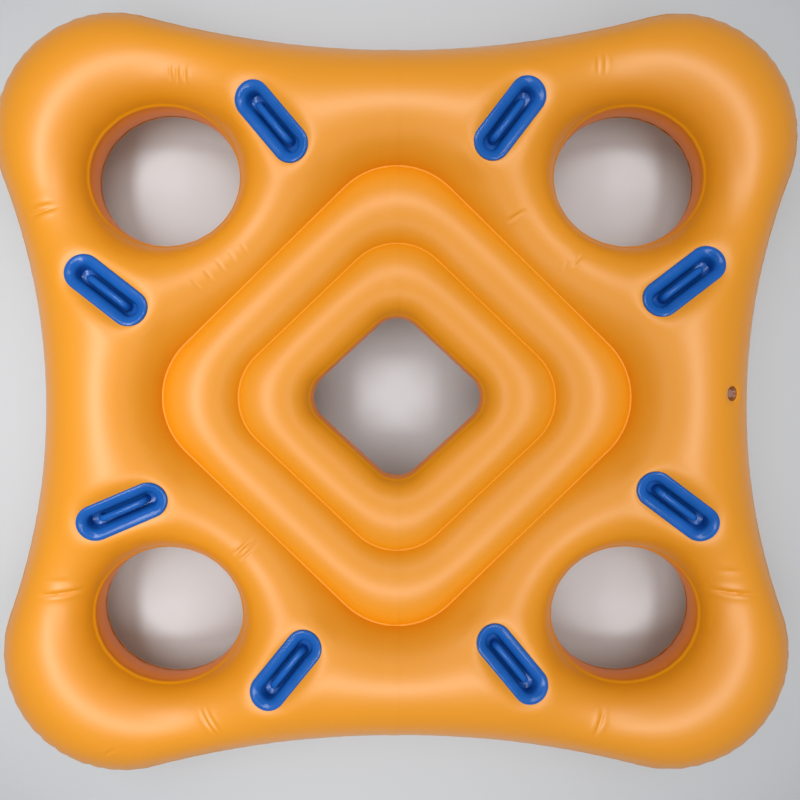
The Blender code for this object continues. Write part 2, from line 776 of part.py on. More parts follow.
def make_valve(fitting, root):
    """The valve: a dished base under the skin, a stem that slides in it, a plug and a flap."""
    frame = add_empty("valve_frame", root, fitting.matrix)
    flange_top = -SHEET - SEAT_GAP
    flange_low = flange_top - VALVE_FLANGE_THICKNESS
    collar_outer = COLLAR_RADIUS + COLLAR_WALL
    dish_low = -COLLAR_TOP - COLLAR_WALL
    base = turned((
        (VALVE_MOUTH_RADIUS, flange_top), (VALVE_FLANGE_RADIUS, flange_top),
        (VALVE_FLANGE_RADIUS, flange_low), (VALVE_MOUTH_RADIUS + COLLAR_WALL / 2, flange_low),
        (collar_outer, dish_low), (collar_outer, -COLLAR_BOTTOM),
        (COLLAR_RADIUS, -COLLAR_BOTTOM), (COLLAR_RADIUS, -COLLAR_TOP),
    ))
    add_object("valve_base", base, CLEAR_PLASTIC, frame)

    stem_radius = COLLAR_RADIUS - STEM_CLEARANCE
    stem_top = -COLLAR_TOP
    foot_top = -COLLAR_BOTTOM - STEM_TRAVEL - SEAT_GAP
    foot_low = foot_top - FOOT_THICKNESS
    stem = add_object("valve_stem", turned((
        (STEM_BORE_RADIUS, stem_top), (stem_radius, stem_top), (stem_radius, foot_top),
        (FOOT_RADIUS, foot_top), (FOOT_RADIUS, foot_low), (STEM_BORE_RADIUS, foot_low),
    )), CLEAR_PLASTIC, frame)
    plug_low = stem_top + SEAT_GAP
    plug_top = plug_low + PLUG_THICKNESS
    lug = bmesh.new()
    lug_start = HINGE_OFFSET + SEAT_GAP
    add_block(lug, (lug_start, -STRAP_WIDTH / 2, stem_top - SEAT_GAP),
              (stem_radius * cos(pi / VALVE_STEPS), STRAP_WIDTH / 2, plug_top - SEAT_GAP))
    join_shape(stem, "strap_lug_cutter", lug, frame)

    hinge = add_empty("plug_hinge", frame, Matrix.Translation((HINGE_OFFSET, 0.0, plug_top)))
    plug_bm = bmesh.new()
    rings = []
    for radius, z in ((PLUG_SHANK_TIP, plug_low - PLUG_SHANK_LENGTH), (PLUG_SHANK_RADIUS, plug_low),
                      (PLUG_RADIUS, plug_low), (PLUG_RADIUS, plug_top)):
        turns = [2 * pi * (i + 0.5) / VALVE_STEPS for i in range(VALVE_STEPS)]
        rings.append([(radius * cos(a) - HINGE_OFFSET, radius * sin(a), z - plug_top) for a in turns])
    loft(plug_bm, rings, capped=True)
    bmesh.ops.recalc_face_normals(plug_bm, faces=plug_bm.faces)
    plug = add_object("valve_plug", plug_bm, CLEAR_PLASTIC, hinge)
    strap = bmesh.new()
    add_block(strap, (PLUG_RADIUS - HINGE_OFFSET - STRAP_ROOT, -STRAP_WIDTH / 2, -PLUG_THICKNESS),
              (-SEAT_GAP / 2, STRAP_WIDTH / 2, 0.0))
    join_shape(plug, "strap_cutter", strap, hinge)

    flap_top = foot_low - SEAT_GAP
    flap_hinge = add_empty("flap_hinge", frame, Matrix.Translation((FLAP_RADIUS, 0.0, flap_top)))
    flap = bmesh.new()
    place = Matrix.Translation((-FLAP_RADIUS, 0.0, -FLAP_THICKNESS / 2))
    bmesh.ops.create_cone(flap, cap_ends=True, segments=VALVE_STEPS, radius1=FLAP_RADIUS,
                          radius2=FLAP_RADIUS, depth=FLAP_THICKNESS, matrix=place)
    add_object("valve_flap", flap, CLEAR_PLASTIC, flap_hinge)


def handle_places():
    seat = (HANDLE_LENGTH + 2 * FLANGE_MARGIN, HANDLE_WIDTH + 2 * FLANGE_MARGIN)
    border = MOUTH_BORDER - CUP_WALL - CUT_CLEARANCE
    cut = (HANDLE_LENGTH - 2 * border, HANDLE_WIDTH - 2 * border)
    places = []
    for name, (side, end), from_seat, inwards, turn in END_HANDLES:
        places.append((name, side * (SEAT_X - from_seat), end * (WAIST_Y - inwards), turn))
    for name, (side, end), from_seat, inwards, turn in SIDE_HANDLES:
        places.append((name, side * (WAIST_X - inwards), end * (SEAT_Y - from_seat), turn))
    return [Fitting(name, x, y, radians(turn), seat, cut, HANDLE_END_STEPS) for name, x, y, turn in places]


def valve_place():
    seat = 2 * (VALVE_FLANGE_RADIUS + FLANGE_MARGIN)
    cut = 2 * VALVE_MOUTH_RADIUS
    x = WAIST_X - VALVE_IN_FROM_WAIST
    return Fitting("valve", x, VALVE_ALONG, 0.0, (seat, seat), (cut, cut), VALVE_SEAT_STEPS)


def main():
    clear_scene()
    plain = Sheet([])
    rest_depth = plain.heights.max() - REST_FLAT
    root = add_empty("mid_plane", None, Matrix.Translation((0.0, 0.0, rest_depth)))
    handles = handle_places()
    valve = valve_place()
    fittings = handles + [valve]
    for fitting in fittings:
        fitting.settle(plain)
    fitted = Sheet(fittings)
    for side, word in ((-1, "left"), (1, "right")):
        top = add_object(f"top_sheet_{word}", half_skin(fitted, side, 1), SHEET_VINYL, root)
        add_thickness(top, SHEET)
        hanging = half_skin(plain, side, -1)
        rest_on_floor(hanging, rest_depth)
        bottom = add_object(f"bottom_sheet_{word}", hanging, SHEET_VINYL, root)
        add_thickness(bottom, SHEET)
        make_side_band(f"side_band_{word}", side, root)
    for word, side in SEATS.items():
        make_seat_wall(f"seat_wall_{word}", side, root)
    make_centre_wall(root)
    make_web("outer_web", OUTER_SEAM, OUTER_WEB_HEIGHT, root)
    make_web("inner_web", INNER_SEAM, INNER_WEB_HEIGHT, root)
    make_handles(handles, root)
    make_valve(valve, root)


main()
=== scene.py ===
# %% [markdown]
# # A four-seat inflatable swim ring
# The imported CAD part gives every piece its true place and size. This lesson makes the pieces look
# as they do on the real ring: welded vinyl blown tight, with its seams, laps and folds, glossy
# moulded grab handles, and a small milky valve.
# The CAD model stays the frame that everything is fitted to, so it is loaded first, and the height of
# its side band's middle is read from it.

import math

import bmesh
import bpy
import numpy as np
from mathutils import Matrix, Vector
from mathutils.kdtree import KDTree


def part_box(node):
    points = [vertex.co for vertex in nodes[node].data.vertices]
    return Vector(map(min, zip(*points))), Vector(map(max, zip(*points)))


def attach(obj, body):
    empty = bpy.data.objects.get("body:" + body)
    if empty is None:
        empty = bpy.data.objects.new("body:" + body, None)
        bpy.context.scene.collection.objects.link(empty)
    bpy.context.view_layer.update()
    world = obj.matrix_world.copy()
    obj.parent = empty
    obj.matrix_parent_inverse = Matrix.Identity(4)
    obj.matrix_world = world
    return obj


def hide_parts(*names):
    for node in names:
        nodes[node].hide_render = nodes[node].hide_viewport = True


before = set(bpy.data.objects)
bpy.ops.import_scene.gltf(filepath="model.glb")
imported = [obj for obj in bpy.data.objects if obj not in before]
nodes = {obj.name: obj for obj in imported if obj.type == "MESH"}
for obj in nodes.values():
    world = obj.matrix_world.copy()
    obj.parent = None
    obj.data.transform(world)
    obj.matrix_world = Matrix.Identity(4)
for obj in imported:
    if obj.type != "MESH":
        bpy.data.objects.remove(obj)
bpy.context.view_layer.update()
band_low, band_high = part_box("side_band_left")
MIDDLE = (band_low.z + band_high.z) / 2

# %% [markdown]
# The camera comes next, because everything is judged through it. The photograph looks at the ring
# squarely from about two metres, a little from the rear side. The ring lies on its back here, so
# the camera hangs above it, and the floor is a pale plain sheet.

# %% Camera
CAMERA_HEIGHT = 1.997
CAMERA_PLACE = Vector((0.0, 0.0625, MIDDLE + CAMERA_HEIGHT))
CAMERA_TARGET = Vector((0.0075, -0.0075, MIDDLE))
SENSOR_WIDTH, LENS = 36.0, 36.0

camera_data = bpy.data.cameras.new("camera")
camera_data.sensor_width = SENSOR_WIDTH
camera_data.lens = LENS
camera = bpy.data.objects.new("camera", camera_data)
bpy.context.scene.collection.objects.link(camera)
back = (CAMERA_PLACE - CAMERA_TARGET).normalized()
right = Vector((0.0, 1.0, 0.0)).cross(back).normalized()
turn = Matrix((right, back.cross(right), back)).transposed().to_4x4()
camera.matrix_world = Matrix.Translation(CAMERA_PLACE) @ turn
bpy.context.scene.camera = camera
print("camera looks down from", [round(x, 3) for x in camera.location])

# %% [markdown]
# A material is a short chain of shader nodes. A few helpers keep the chains readable. One adds a
# node with its settings, and one starts a Principled material from a colour and a roughness. The
# others make what every finish here has: noise on Object coordinates, a mix of two colours, and
# bumps laid over each other, which stand for grain too fine to model.

# %% Material helpers


def add_node(tree, kind, links=None, **settings):
    """A shader node with plain settings; links names the inputs to fill, from sockets or values."""
    node = tree.nodes.new(kind)
    for name, value in settings.items():
        setattr(node, name, value)
    for name, source in (links or {}).items():
        if isinstance(source, bpy.types.NodeSocket):
            tree.links.new(source, node.inputs[name])
        else:
            node.inputs[name].default_value = source
    return node


def start_material(name, colour, roughness):
    """A Principled material; gives the material, its node tree and the Principled node."""
    material = bpy.data.materials.new(name)
    material.use_nodes = True
    shader = material.node_tree.nodes["Principled BSDF"]
    shader.inputs["Base Color"].default_value = (*colour, 1.0)
    shader.inputs["Roughness"].default_value = roughness
    material.diffuse_color = (*colour, 1.0)
    return material, material.node_tree, shader


def noise(tree, scale, detail, roughness=0.5):
    """A noise texture's grey output, on Object coordinates."""
    spot = add_node(tree, "ShaderNodeTexCoord").outputs["Object"]
    links = {"Vector": spot, "Scale": scale, "Detail": detail, "Roughness": roughness}
    return add_node(tree, "ShaderNodeTexNoise", links).outputs["Fac"]


def tinted(tree, shader, share, first, second):
    """Colours the shader with a mix of two colours; share is the part of the second."""
    links = {0: share, 6: (*first, 1.0), 7: (*second, 1.0)}
    tint = add_node(tree, "ShaderNodeMix", links, data_type="RGBA")
    tree.links.new(tint.outputs[2], shader.inputs["Base Color"])


def bumpy(tree, shader, layers):
    """Bumps laid over each other: each has a noise scale and detail, a strength and a depth."""
    beneath = {}
    for scale, detail, strength, depth in layers:
        links = {"Height": noise(tree, scale, detail), "Strength": strength, "Distance": depth}
        layer = add_node(tree, "ShaderNodeBump", links | beneath)
        beneath = {"Normal": layer.outputs[0]}
    tree.links.new(beneath["Normal"], shader.inputs["Normal"])


def ramped(tree, value, times, plus, clamped=False):
    """A value multiplied by a number, plus a number or another value."""
    links = {0: value, 1: times, 2: plus}
    ramp = add_node(tree, "ShaderNodeMath", links, operation="MULTIPLY_ADD", use_clamp=clamped)
    return ramp.outputs[0]


print("material helpers ready")

# %% [markdown]
# The vinyl is a satin film. Its colour is nearly even. Along the welds it is duller, and its colour
# is deeper there as painted shade of the weld valleys and creases. A fine grain breaks the shine,
# and a slow unevenness keeps the long highlights from looking drawn. Every skin carries an
# attribute that rises to 1 at its welds, so the material and its painted weld shade follow them on
# any piece.

# %% Vinyl
ORANGE = (0.85, 0.312, 0.0)
WALL_ORANGE = (0.86, 0.255, 0.001)
# deeper colour along the welds: painted shade of the valleys and creases at the welds
WELD_SHADE_DEEPER = 0.86
CLOUD_SHARE, CLOUD_START, WELD_SHADE_SHARE = 0.35, -0.1, 0.6
SPECULAR, SPECULAR_LOSS = 0.5, 0.35
COAT_LOSS, COAT_ROUGHNESS = 0.8, 0.43
FILM_BUMPS = ((900.0, 2.0, 0.10, 0.0004), (14.0, 3.0, 0.25, 0.004))


def vinyl(name, colour, roughness, coat):
    """Satin film with a soft clear coat, which is weaker along the welds, where the colour is deepened
    as painted shade.
    """
    material, tree, shader = start_material(name, colour, roughness)
    weld = add_node(tree, "ShaderNodeAttribute", attribute_name="weld").outputs["Fac"]
    patches = noise(tree, scale=5.0, detail=3.0)
    cloud = ramped(tree, patches, CLOUD_SHARE, CLOUD_START, clamped=True)
    # the deeper colour rises to its full share at the welds, as painted shade
    share = ramped(tree, weld, WELD_SHADE_SHARE, cloud, clamped=True)
    tinted(tree, shader, share, colour, [WELD_SHADE_DEEPER * part for part in colour])
    bumpy(tree, shader, FILM_BUMPS)
    gloss = ramped(tree, weld, -COAT_LOSS * coat, coat)
    shine = ramped(tree, weld, -SPECULAR_LOSS, SPECULAR)
    tree.links.new(gloss, shader.inputs["Coat Weight"])
    tree.links.new(shine, shader.inputs["Specular IOR Level"])
    shader.inputs["Coat Roughness"].default_value = COAT_ROUGHNESS
    return material


sheet_vinyl = vinyl("satin orange vinyl", ORANGE, roughness=0.46, coat=0.8)
wall_vinyl = vinyl("satin orange wall vinyl", WALL_ORANGE, roughness=0.50, coat=0.1)
print("vinyl materials made")

# %% [markdown]
# The ring's plan is drawn with a few curves, the same as in the CAD source: an outline of round
# corners and hollow sides, four seat ellipses, and rounded diamonds. Each is sampled evenly, so
# that the rows of faces beside a weld stay regular.

# %% Plan curves
HALF_WIDTH, HALF_LENGTH = 0.975, 0.930
CORNER = 0.297
WAIST = (HALF_WIDTH - 0.114, HALF_LENGTH - 0.088)
SEAT_CENTRE = (HALF_WIDTH - 0.413, HALF_LENGTH - 0.395)
SEAT_REACH = (0.185, 0.171)
ELLIPSE_STEPS, ARC_STEPS = 400, 80
# each diamond: reach along X, reach along Y, radius of its tips
OUTER_SEAM = (0.564, 0.554, 0.180)
INNER_SEAM = (0.3835, 0.3715, 0.139)
CENTRE = (0.215, 0.204, 0.073)
BULGE = 0.008
SPACING = 0.009


def arc(centre, radius, start, stop, steps=ARC_STEPS):
    turns = np.linspace(start, stop, steps, endpoint=False)
    return np.column_stack([centre[0] + radius * np.cos(turns), centre[1] + radius * np.sin(turns)])


def mirrored(quarter):
    """A closed loop from its first quarter, which runs from the +X axis to the +Y axis."""
    half = np.vstack([quarter, quarter[-2::-1] * (-1, 1)])
    return np.vstack([half, half[-2:0:-1] * (1, -1)])


def evenly(loop, spacing):
    """The same closed loop with points at even steps; their number is a multiple of four."""
    closed = np.vstack([loop, loop[:1]])
    run = np.concatenate([[0.0], np.cumsum(np.hypot(*np.diff(closed, axis=0).T))])
    steps = np.linspace(0.0, run[-1], 4 * round(run[-1] / spacing / 4), endpoint=False)
    return np.column_stack([np.interp(steps, run, closed[:, axis]) for axis in (0, 1)])


def outline():
    """The welds' outline: the body's widest line less the side band's bulge."""
    corner_x, corner_y = HALF_WIDTH - CORNER, HALF_LENGTH - CORNER
    side_depth, end_depth = WAIST[0] - corner_x, WAIST[1] - corner_y
    side = (side_depth**2 + corner_y**2 - CORNER**2) / (2 * (CORNER - side_depth))
    end = (end_depth**2 + corner_x**2 - CORNER**2) / (2 * (CORNER - end_depth))
    side_turn = math.asin(corner_y / (CORNER + side))
    end_turn = math.asin(corner_x / (CORNER + end))
    quarter = np.vstack([
        arc((WAIST[0] + side, 0.0), side + BULGE, math.pi, math.pi - side_turn),
        arc((corner_x, corner_y), CORNER - BULGE, -side_turn, math.pi / 2 + end_turn),
        arc((0.0, WAIST[1] + end), end + BULGE, end_turn - math.pi / 2, -math.pi / 2),
        [(0.0, WAIST[1] - BULGE)],
    ])
    return evenly(mirrored(quarter), SPACING)


def seat(side):
    """A seat hole's ellipse, in the corner that the two signs of side name."""
    turns = np.linspace(0.0, 2 * math.pi, ELLIPSE_STEPS, endpoint=False)
    loop = np.column_stack([
        side[0] * SEAT_CENTRE[0] + SEAT_REACH[0] * np.cos(turns),
        side[1] * SEAT_CENTRE[1] + SEAT_REACH[1] * np.sin(turns),
    ])
    return evenly(loop, SPACING)


def diamond(shape):
    """A rounded diamond with its tips on the axes."""
    reach_x, reach_y, radius = shape
    tip_x, tip_y = reach_x - radius, reach_y - radius
    lean = math.atan2(tip_x, tip_y)
    quarter = np.vstack([
        arc((tip_x, 0.0), radius, 0.0, lean),
        arc((0.0, tip_y), radius, lean, math.pi / 2),
        [(0.0, tip_y + radius)],
    ])
    return evenly(mirrored(quarter), SPACING)


def normals_of(loop):
    """Unit normals of a loop that runs counter-clockwise, pointing out of it."""
    runs = np.roll(loop, -1, axis=0) - np.roll(loop, 1, axis=0)
    out = np.column_stack([runs[:, 1], -runs[:, 0]])
    return out / np.linalg.norm(out, axis=1)[:, None]


SEATS = {"rear_left": (-1, 1), "rear_right": (1, 1), "front_left": (-1, -1), "front_right": (1, -1)}
OUTLINE = outline()
SEAT_LOOPS = {name: seat(side) for name, side in SEATS.items()}
CENTRE_LOOP = diamond(CENTRE)
print("outline of", len(OUTLINE), "points, a seat of", len(SEAT_LOOPS["rear_left"]))

# %% [markdown]
# Handles and valve are moulded pieces welded into cut-outs of the top sheets, and each sits on a
# flat that follows the slope there. Their exact places are read from the CAD nodes: the flat faces
# give the normal, and the node's longest direction gives the long axis. The seat lies a known
# height under the node's highest point. That is the rim's height on a handle, and less than nothing
# for the valve's base, which is welded on from underneath.

# %% Frames of the fittings
HANDLE_LENGTH, HANDLE_WIDTH = 0.222, 0.087
RIM_TOP = 0.005
LEAST_UPWARD = 0.5


def frame_of(node, top, ahead=None):
    """A matrix whose Z is the fitting's normal, X its long axis, and origin its seat's middle."""
    mesh = node.data
    spots = np.array([vert.co for vert in mesh.vertices])
    flats = {}
    for face in mesh.polygons:
        if face.normal.z > LEAST_UPWARD:
            key = tuple(round(part, 3) for part in face.normal)
            flats[key] = flats.get(key, Vector()) + face.normal * face.area
    normal = max(flats.values(), key=lambda total: total.length).normalized()
    flat = spots - np.outer(spots @ np.array(normal), np.array(normal))
    spread = flat - flat.mean(axis=0)
    level = (spots @ np.array(normal)).max() - top
    ahead = ahead or Vector(np.linalg.eigh(spread.T @ spread)[1][:, -1])
    ahead = (ahead - normal * ahead.dot(normal)).normalized()
    if ahead.x < 0:
        ahead.negate()
    across = normal.cross(ahead)
    turn = Matrix((ahead, across, normal)).transposed().to_4x4()
    local = np.array([turn.inverted() @ Vector(spot) for spot in spots])
    centre = (local.max(axis=0) + local.min(axis=0)) / 2
    origin = turn @ Vector((centre[0], centre[1], level))
    return Matrix.Translation(origin) @ turn


handle_nodes = [name for name in nodes if name.startswith("handle")]
HANDLES = {name: frame_of(nodes[name], RIM_TOP) for name in handle_nodes}
for name, place in HANDLES.items():
    lean = math.degrees(place.to_3x3().col[2].angle(Vector((0.0, 0.0, 1.0))))
    print(name, [round(x, 3) for x in place.translation], "lean", round(lean, 1))

# %% [markdown]
# A sheet starts as a flat plan. Beside every weld runs a set of edge rows, close together at the
# weld, where an inflated sheet bends most, and wider apart further in. Each row is a closed ring of
# edges, and neighbouring rings are bridged with faces.

# %% Rows beside a weld
WELD_ROWS = ((0.0020, None), (0.0050, None), (0.0095, None), (0.0155, None))
MERGE = 1e-6


def ring_of(bm, loop, height=0.0):
    """The edges of a closed ring through the points of a loop."""
    verts = [bm.verts.new((x, y, height)) for x, y in loop]
    return [bm.edges.new(pair) for pair in zip(verts, verts[1:] + verts[:1])]


def bridged(bm, rings):
    """Bridges each ring of edges to the next."""
    for ring, following in zip(rings, rings[1:]):
        bmesh.ops.bridge_loops(bm, edges=ring + following)


def add_rows(bm, held, loop, away, steps):
    """Rows beside a weld, away 1 for outside its loop and -1 for inside.

    Steps are pairs of distance and held height, None where the sheet is free. Gives each row's
    points and edges.
    """
    out = normals_of(loop)
    rows = []
    for distance, height in steps:
        row = loop + away * distance * out
        ring = ring_of(bm, row)
        for edge in ring:
            edge.verts[0][held] = height or 0.0
        rows.append((row, ring))
    bridged(bm, [ring for _, ring in rows])
    return rows


print("rows", [1000 * distance for distance, _ in WELD_ROWS], "mm from a weld")

# %% [markdown]
# The middle of the plan is an even grid. It keeps its points inside the open area and a little away
# from the rows, by a share of the grid's step, and the narrow gap left between grid and rows is
# filled with triangles. Deleting points can leave loose edges and pinched corners, so the grid is
# cleaned until none is left.

# %% Filling the middle
ROOM = 0.62
LEVEL_RISE = 1e-12


def inside(points, loop):
    """Which points lie inside a closed loop, by counting crossings."""
    found = np.zeros(len(points), bool)
    near = ((points > loop.min(axis=0)) & (points < loop.max(axis=0))).all(axis=1)
    x, y = points[near, 0][:, None], points[near, 1][:, None]
    ends = np.roll(loop, -1, axis=0)
    spans = (loop[:, 1] > y) != (ends[:, 1] > y)
    rise = ends[:, 1] - loop[:, 1]
    rise[rise == 0] = LEVEL_RISE
    meets = loop[:, 0] + (y - loop[:, 1]) * (ends[:, 0] - loop[:, 0]) / rise
    found[near] = (spans & (x < meets)).sum(axis=1) % 2 == 1
    return found


def tree_of(points):
    tree = KDTree(len(points))
    for number, (x, y) in enumerate(points):
        tree.insert((x, y, 0.0), number)
    tree.balance()
    return tree


def plan_of(bm):
    return np.array([vert.co[:2] for vert in bm.verts])


def pinched(vert):
    """Whether two corners of the open area meet at a point, which the filling can't handle."""
    return sum(edge.is_boundary for edge in vert.link_edges) > 2


def fill_middle(bm, borders):
    """Fills the area between the border rows with a grid and a stitched edge."""
    old = set(bm.verts)
    steps = [math.ceil(half / SPACING) for half in (HALF_WIDTH, HALF_LENGTH)]
    scale = Matrix.Diagonal((steps[0] * SPACING, steps[1] * SPACING, 1.0, 1.0))
    segments = {"x_segments": 2 * steps[0], "y_segments": 2 * steps[1]}
    bmesh.ops.create_grid(bm, size=1.0, matrix=scale, **segments)
    grid = [vert for vert in bm.verts if vert not in old]
    spots = np.array([vert.co[:2] for vert in grid])
    within = sum(inside(spots, row).astype(int) for row, _ in borders) % 2 == 1
    tree = tree_of(np.vstack([row for row, _ in borders]))
    clear = np.array([tree.find((x, y, 0.0))[2] > ROOM * SPACING for x, y in spots])
    gone = [vert for vert, keep in zip(grid, within & clear) if not keep]
    while gone:
        bmesh.ops.delete(bm, geom=gone, context="VERTS")
        wires = [edge for edge in bm.edges if edge.is_wire and edge.verts[0] not in old]
        bmesh.ops.delete(bm, geom=wires, context="EDGES")
        lone = [vert for vert in bm.verts if not vert.link_edges]
        bmesh.ops.delete(bm, geom=lone, context="VERTS")
        gone = [vert for vert in bm.verts if vert not in old and pinched(vert)]
    rim = [edge for edge in bm.edges if edge.is_boundary and edge.verts[0] not in old]
    rows = [edge for _, ring in borders for edge in ring]
    bmesh.ops.triangle_fill(bm, use_beauty=True, edges=rim + rows)


print("grid step", 1000 * SPACING, "mm")

# %% [markdown]
# Air pressure shapes the plan. A film under pressure follows the membrane equation: the sum of the
# bends in both directions is the same everywhere. It is solved on the flat mesh with the welds held
# at their heights, and the root of twice the answer makes a straight chamber's section a circle
# through both its welds. The equations are solved by conjugate gradients.

# %% Blowing up a sheet
MOST_TURNS = 2500
CLOSE_ENOUGH = 1e-14
LEAST_AREA = 1e-9


def springs_of(spots, corners):
    """The film's stiffness as springs along the edges of its triangles, and each triangle's area."""
    first, second, third = (spots[corners[:, k]] for k in range(3))
    u, v = second - first, third - first
    area = np.maximum(np.abs(u[:, 0] * v[:, 1] - u[:, 1] * v[:, 0]) / 2, LEAST_AREA)
    heads, tails, weights = [], [], []
    for k in range(3):
        head, tail, across = corners[:, k], corners[:, k - 2], corners[:, k - 1]
        along, beside = spots[head] - spots[across], spots[tail] - spots[across]
        heads.append(head)
        tails.append(tail)
        weights.append((along * beside).sum(axis=1) / (4 * area))
    return np.concatenate(heads), np.concatenate(tails), np.concatenate(weights), area


def blow_up(bm, held):
    """The height of every point of a flat sheet once it is blown up."""
    bm.verts.index_update()
    corners = np.array([[loop.vert.index for loop in tri] for tri in bm.calc_loop_triangles()])
    fixed = np.array([vert[held] for vert in bm.verts])
    count = len(fixed)
    heads, tails, weights, area = springs_of(plan_of(bm), corners)
    load = np.bincount(corners.ravel(), np.repeat(area / 3, 3), count)
    stiff = np.bincount(heads, weights, count) + np.bincount(tails, weights, count)
    free = fixed <= 0.0

    def pull(values):
        flow = weights * (values[heads] - values[tails])
        return np.bincount(heads, flow, count) - np.bincount(tails, flow, count)

    answer = fixed**2 / 2
    rest = np.where(free, load - pull(answer), 0.0)
    step = rest / stiff
    power = rest @ step
    goal = CLOSE_ENOUGH * (load @ load)
    for turn in range(MOST_TURNS):
        push = np.where(free, pull(step), 0.0)
        reach = power / (step @ push)
        answer += reach * step
        rest -= reach * push
        if rest @ rest < goal:
            break
        better = rest / stiff
        fresh = rest @ better
        step = better + (fresh / power) * step
        power = fresh
    print(count, "points and", len(corners), "triangles, solved in", turn, "turns")
    return np.sqrt(2 * np.maximum(answer, 0.0))


# %% [markdown]
# The sheet laps a few millimetres over the band or wall that it is welded to, as a real lap weld
# does, so its last rows run down over the weld. Along the two valleys the sheet is welded flat to a
# web's folded edge, a land nearly four millimetres wide. Under each handle, and round the valve,
# the sheet is cut out, and a set of rows round the cut keeps the opening neat. All heights here are
# measured from the middle of the ring.

# %% Plan of a sheet
WELD_HEIGHT = 0.0454
LAPPED = (
    (-0.0040, WELD_HEIGHT - 0.0065),
    (-0.0030, WELD_HEIGHT - 0.0035),
    (-0.0015, WELD_HEIGHT - 0.0010),
    (0.0, WELD_HEIGHT),
) + WELD_ROWS
LAND = 0.0018
WEB_SEAMS = ((OUTER_SEAM, 0.070), (INNER_SEAM, 0.062))
CUT_LENGTH, CUT_WIDTH, CUT_STEP = 0.1942, 0.0592, 0.0045
CUT_ROWS = (0.0, 0.005, 0.010, 0.0145, 0.0185, 0.0225, 0.0275, 0.0335)
VALVE_MOUTH, MOUTH_STEP = 0.0175, 0.0035
BASE_TOP = -0.0012
MOUTH_ROWS = (0.0, 0.003, 0.0065, 0.0105, 0.0155, 0.0215)


def stadium(length, width, spacing):
    """A slot with round ends along X; a circle when both sizes are equal."""
    reach = (length - width) / 2
    right = arc((reach, 0.0), width / 2, -math.pi / 2, math.pi / 2)
    left = arc((-reach, 0.0), width / 2, math.pi / 2, 3 * math.pi / 2)
    return evenly(np.vstack([right, left]), spacing)


def placed(loop, place):
    """A loop on a fitting's seat, seen from straight above."""
    return np.array([(place @ Vector((x, y, 0.0)))[:2] for x, y in loop])


VALVE = frame_of(nodes["valve_base"], BASE_TOP, ahead=Vector((1.0, 0.0, 0.0)))
handle_cut = stadium(CUT_LENGTH, CUT_WIDTH, CUT_STEP)
valve_cut = stadium(2 * VALVE_MOUTH, 2 * VALVE_MOUTH, MOUTH_STEP)
CUTS = [(placed(handle_cut, place), CUT_ROWS) for place in HANDLES.values()]
CUTS.append((placed(valve_cut, VALVE), MOUTH_ROWS))


def flat_sheet(cuts):
    """The flat plan of a whole sheet, and the layer that holds its weld heights."""
    bm = bmesh.new()
    held = bm.verts.layers.float.new("held")
    borders = [add_rows(bm, held, OUTLINE, -1, LAPPED)[-1]]
    borders += [add_rows(bm, held, loop, 1, LAPPED)[-1] for loop in SEAT_LOOPS.values()]
    borders.append(add_rows(bm, held, CENTRE_LOOP, 1, LAPPED)[-1])
    for shape, height in WEB_SEAMS:
        beyond = tuple((LAND + distance, None) for distance, _ in WELD_ROWS)
        for away in (1, -1):
            steps = ((0.0, height), (LAND, height)) + beyond
            borders.append(add_rows(bm, held, diamond(shape), away, steps)[-1])
    for loop, distances in cuts:
        rows = add_rows(bm, held, loop, 1, [(distance, None) for distance in distances])
        borders += [rows[0], rows[-1]]
    bmesh.ops.remove_doubles(bm, verts=bm.verts, dist=MERGE)
    return bm, held, borders


print(len(CUTS), "cut-outs in the top sheets")

# %% [markdown]
# The photographed ring is nearly new, but it has folds where a curved tube has too much sheet:
# short creases across the ridges, and stronger ones with a bright swell where the sides run into
# the corners. Each is a line with a width, a depth, and the height of the swell beside it. The
# mesh is made finer round them, twice, but not at a weld, where its points are held.

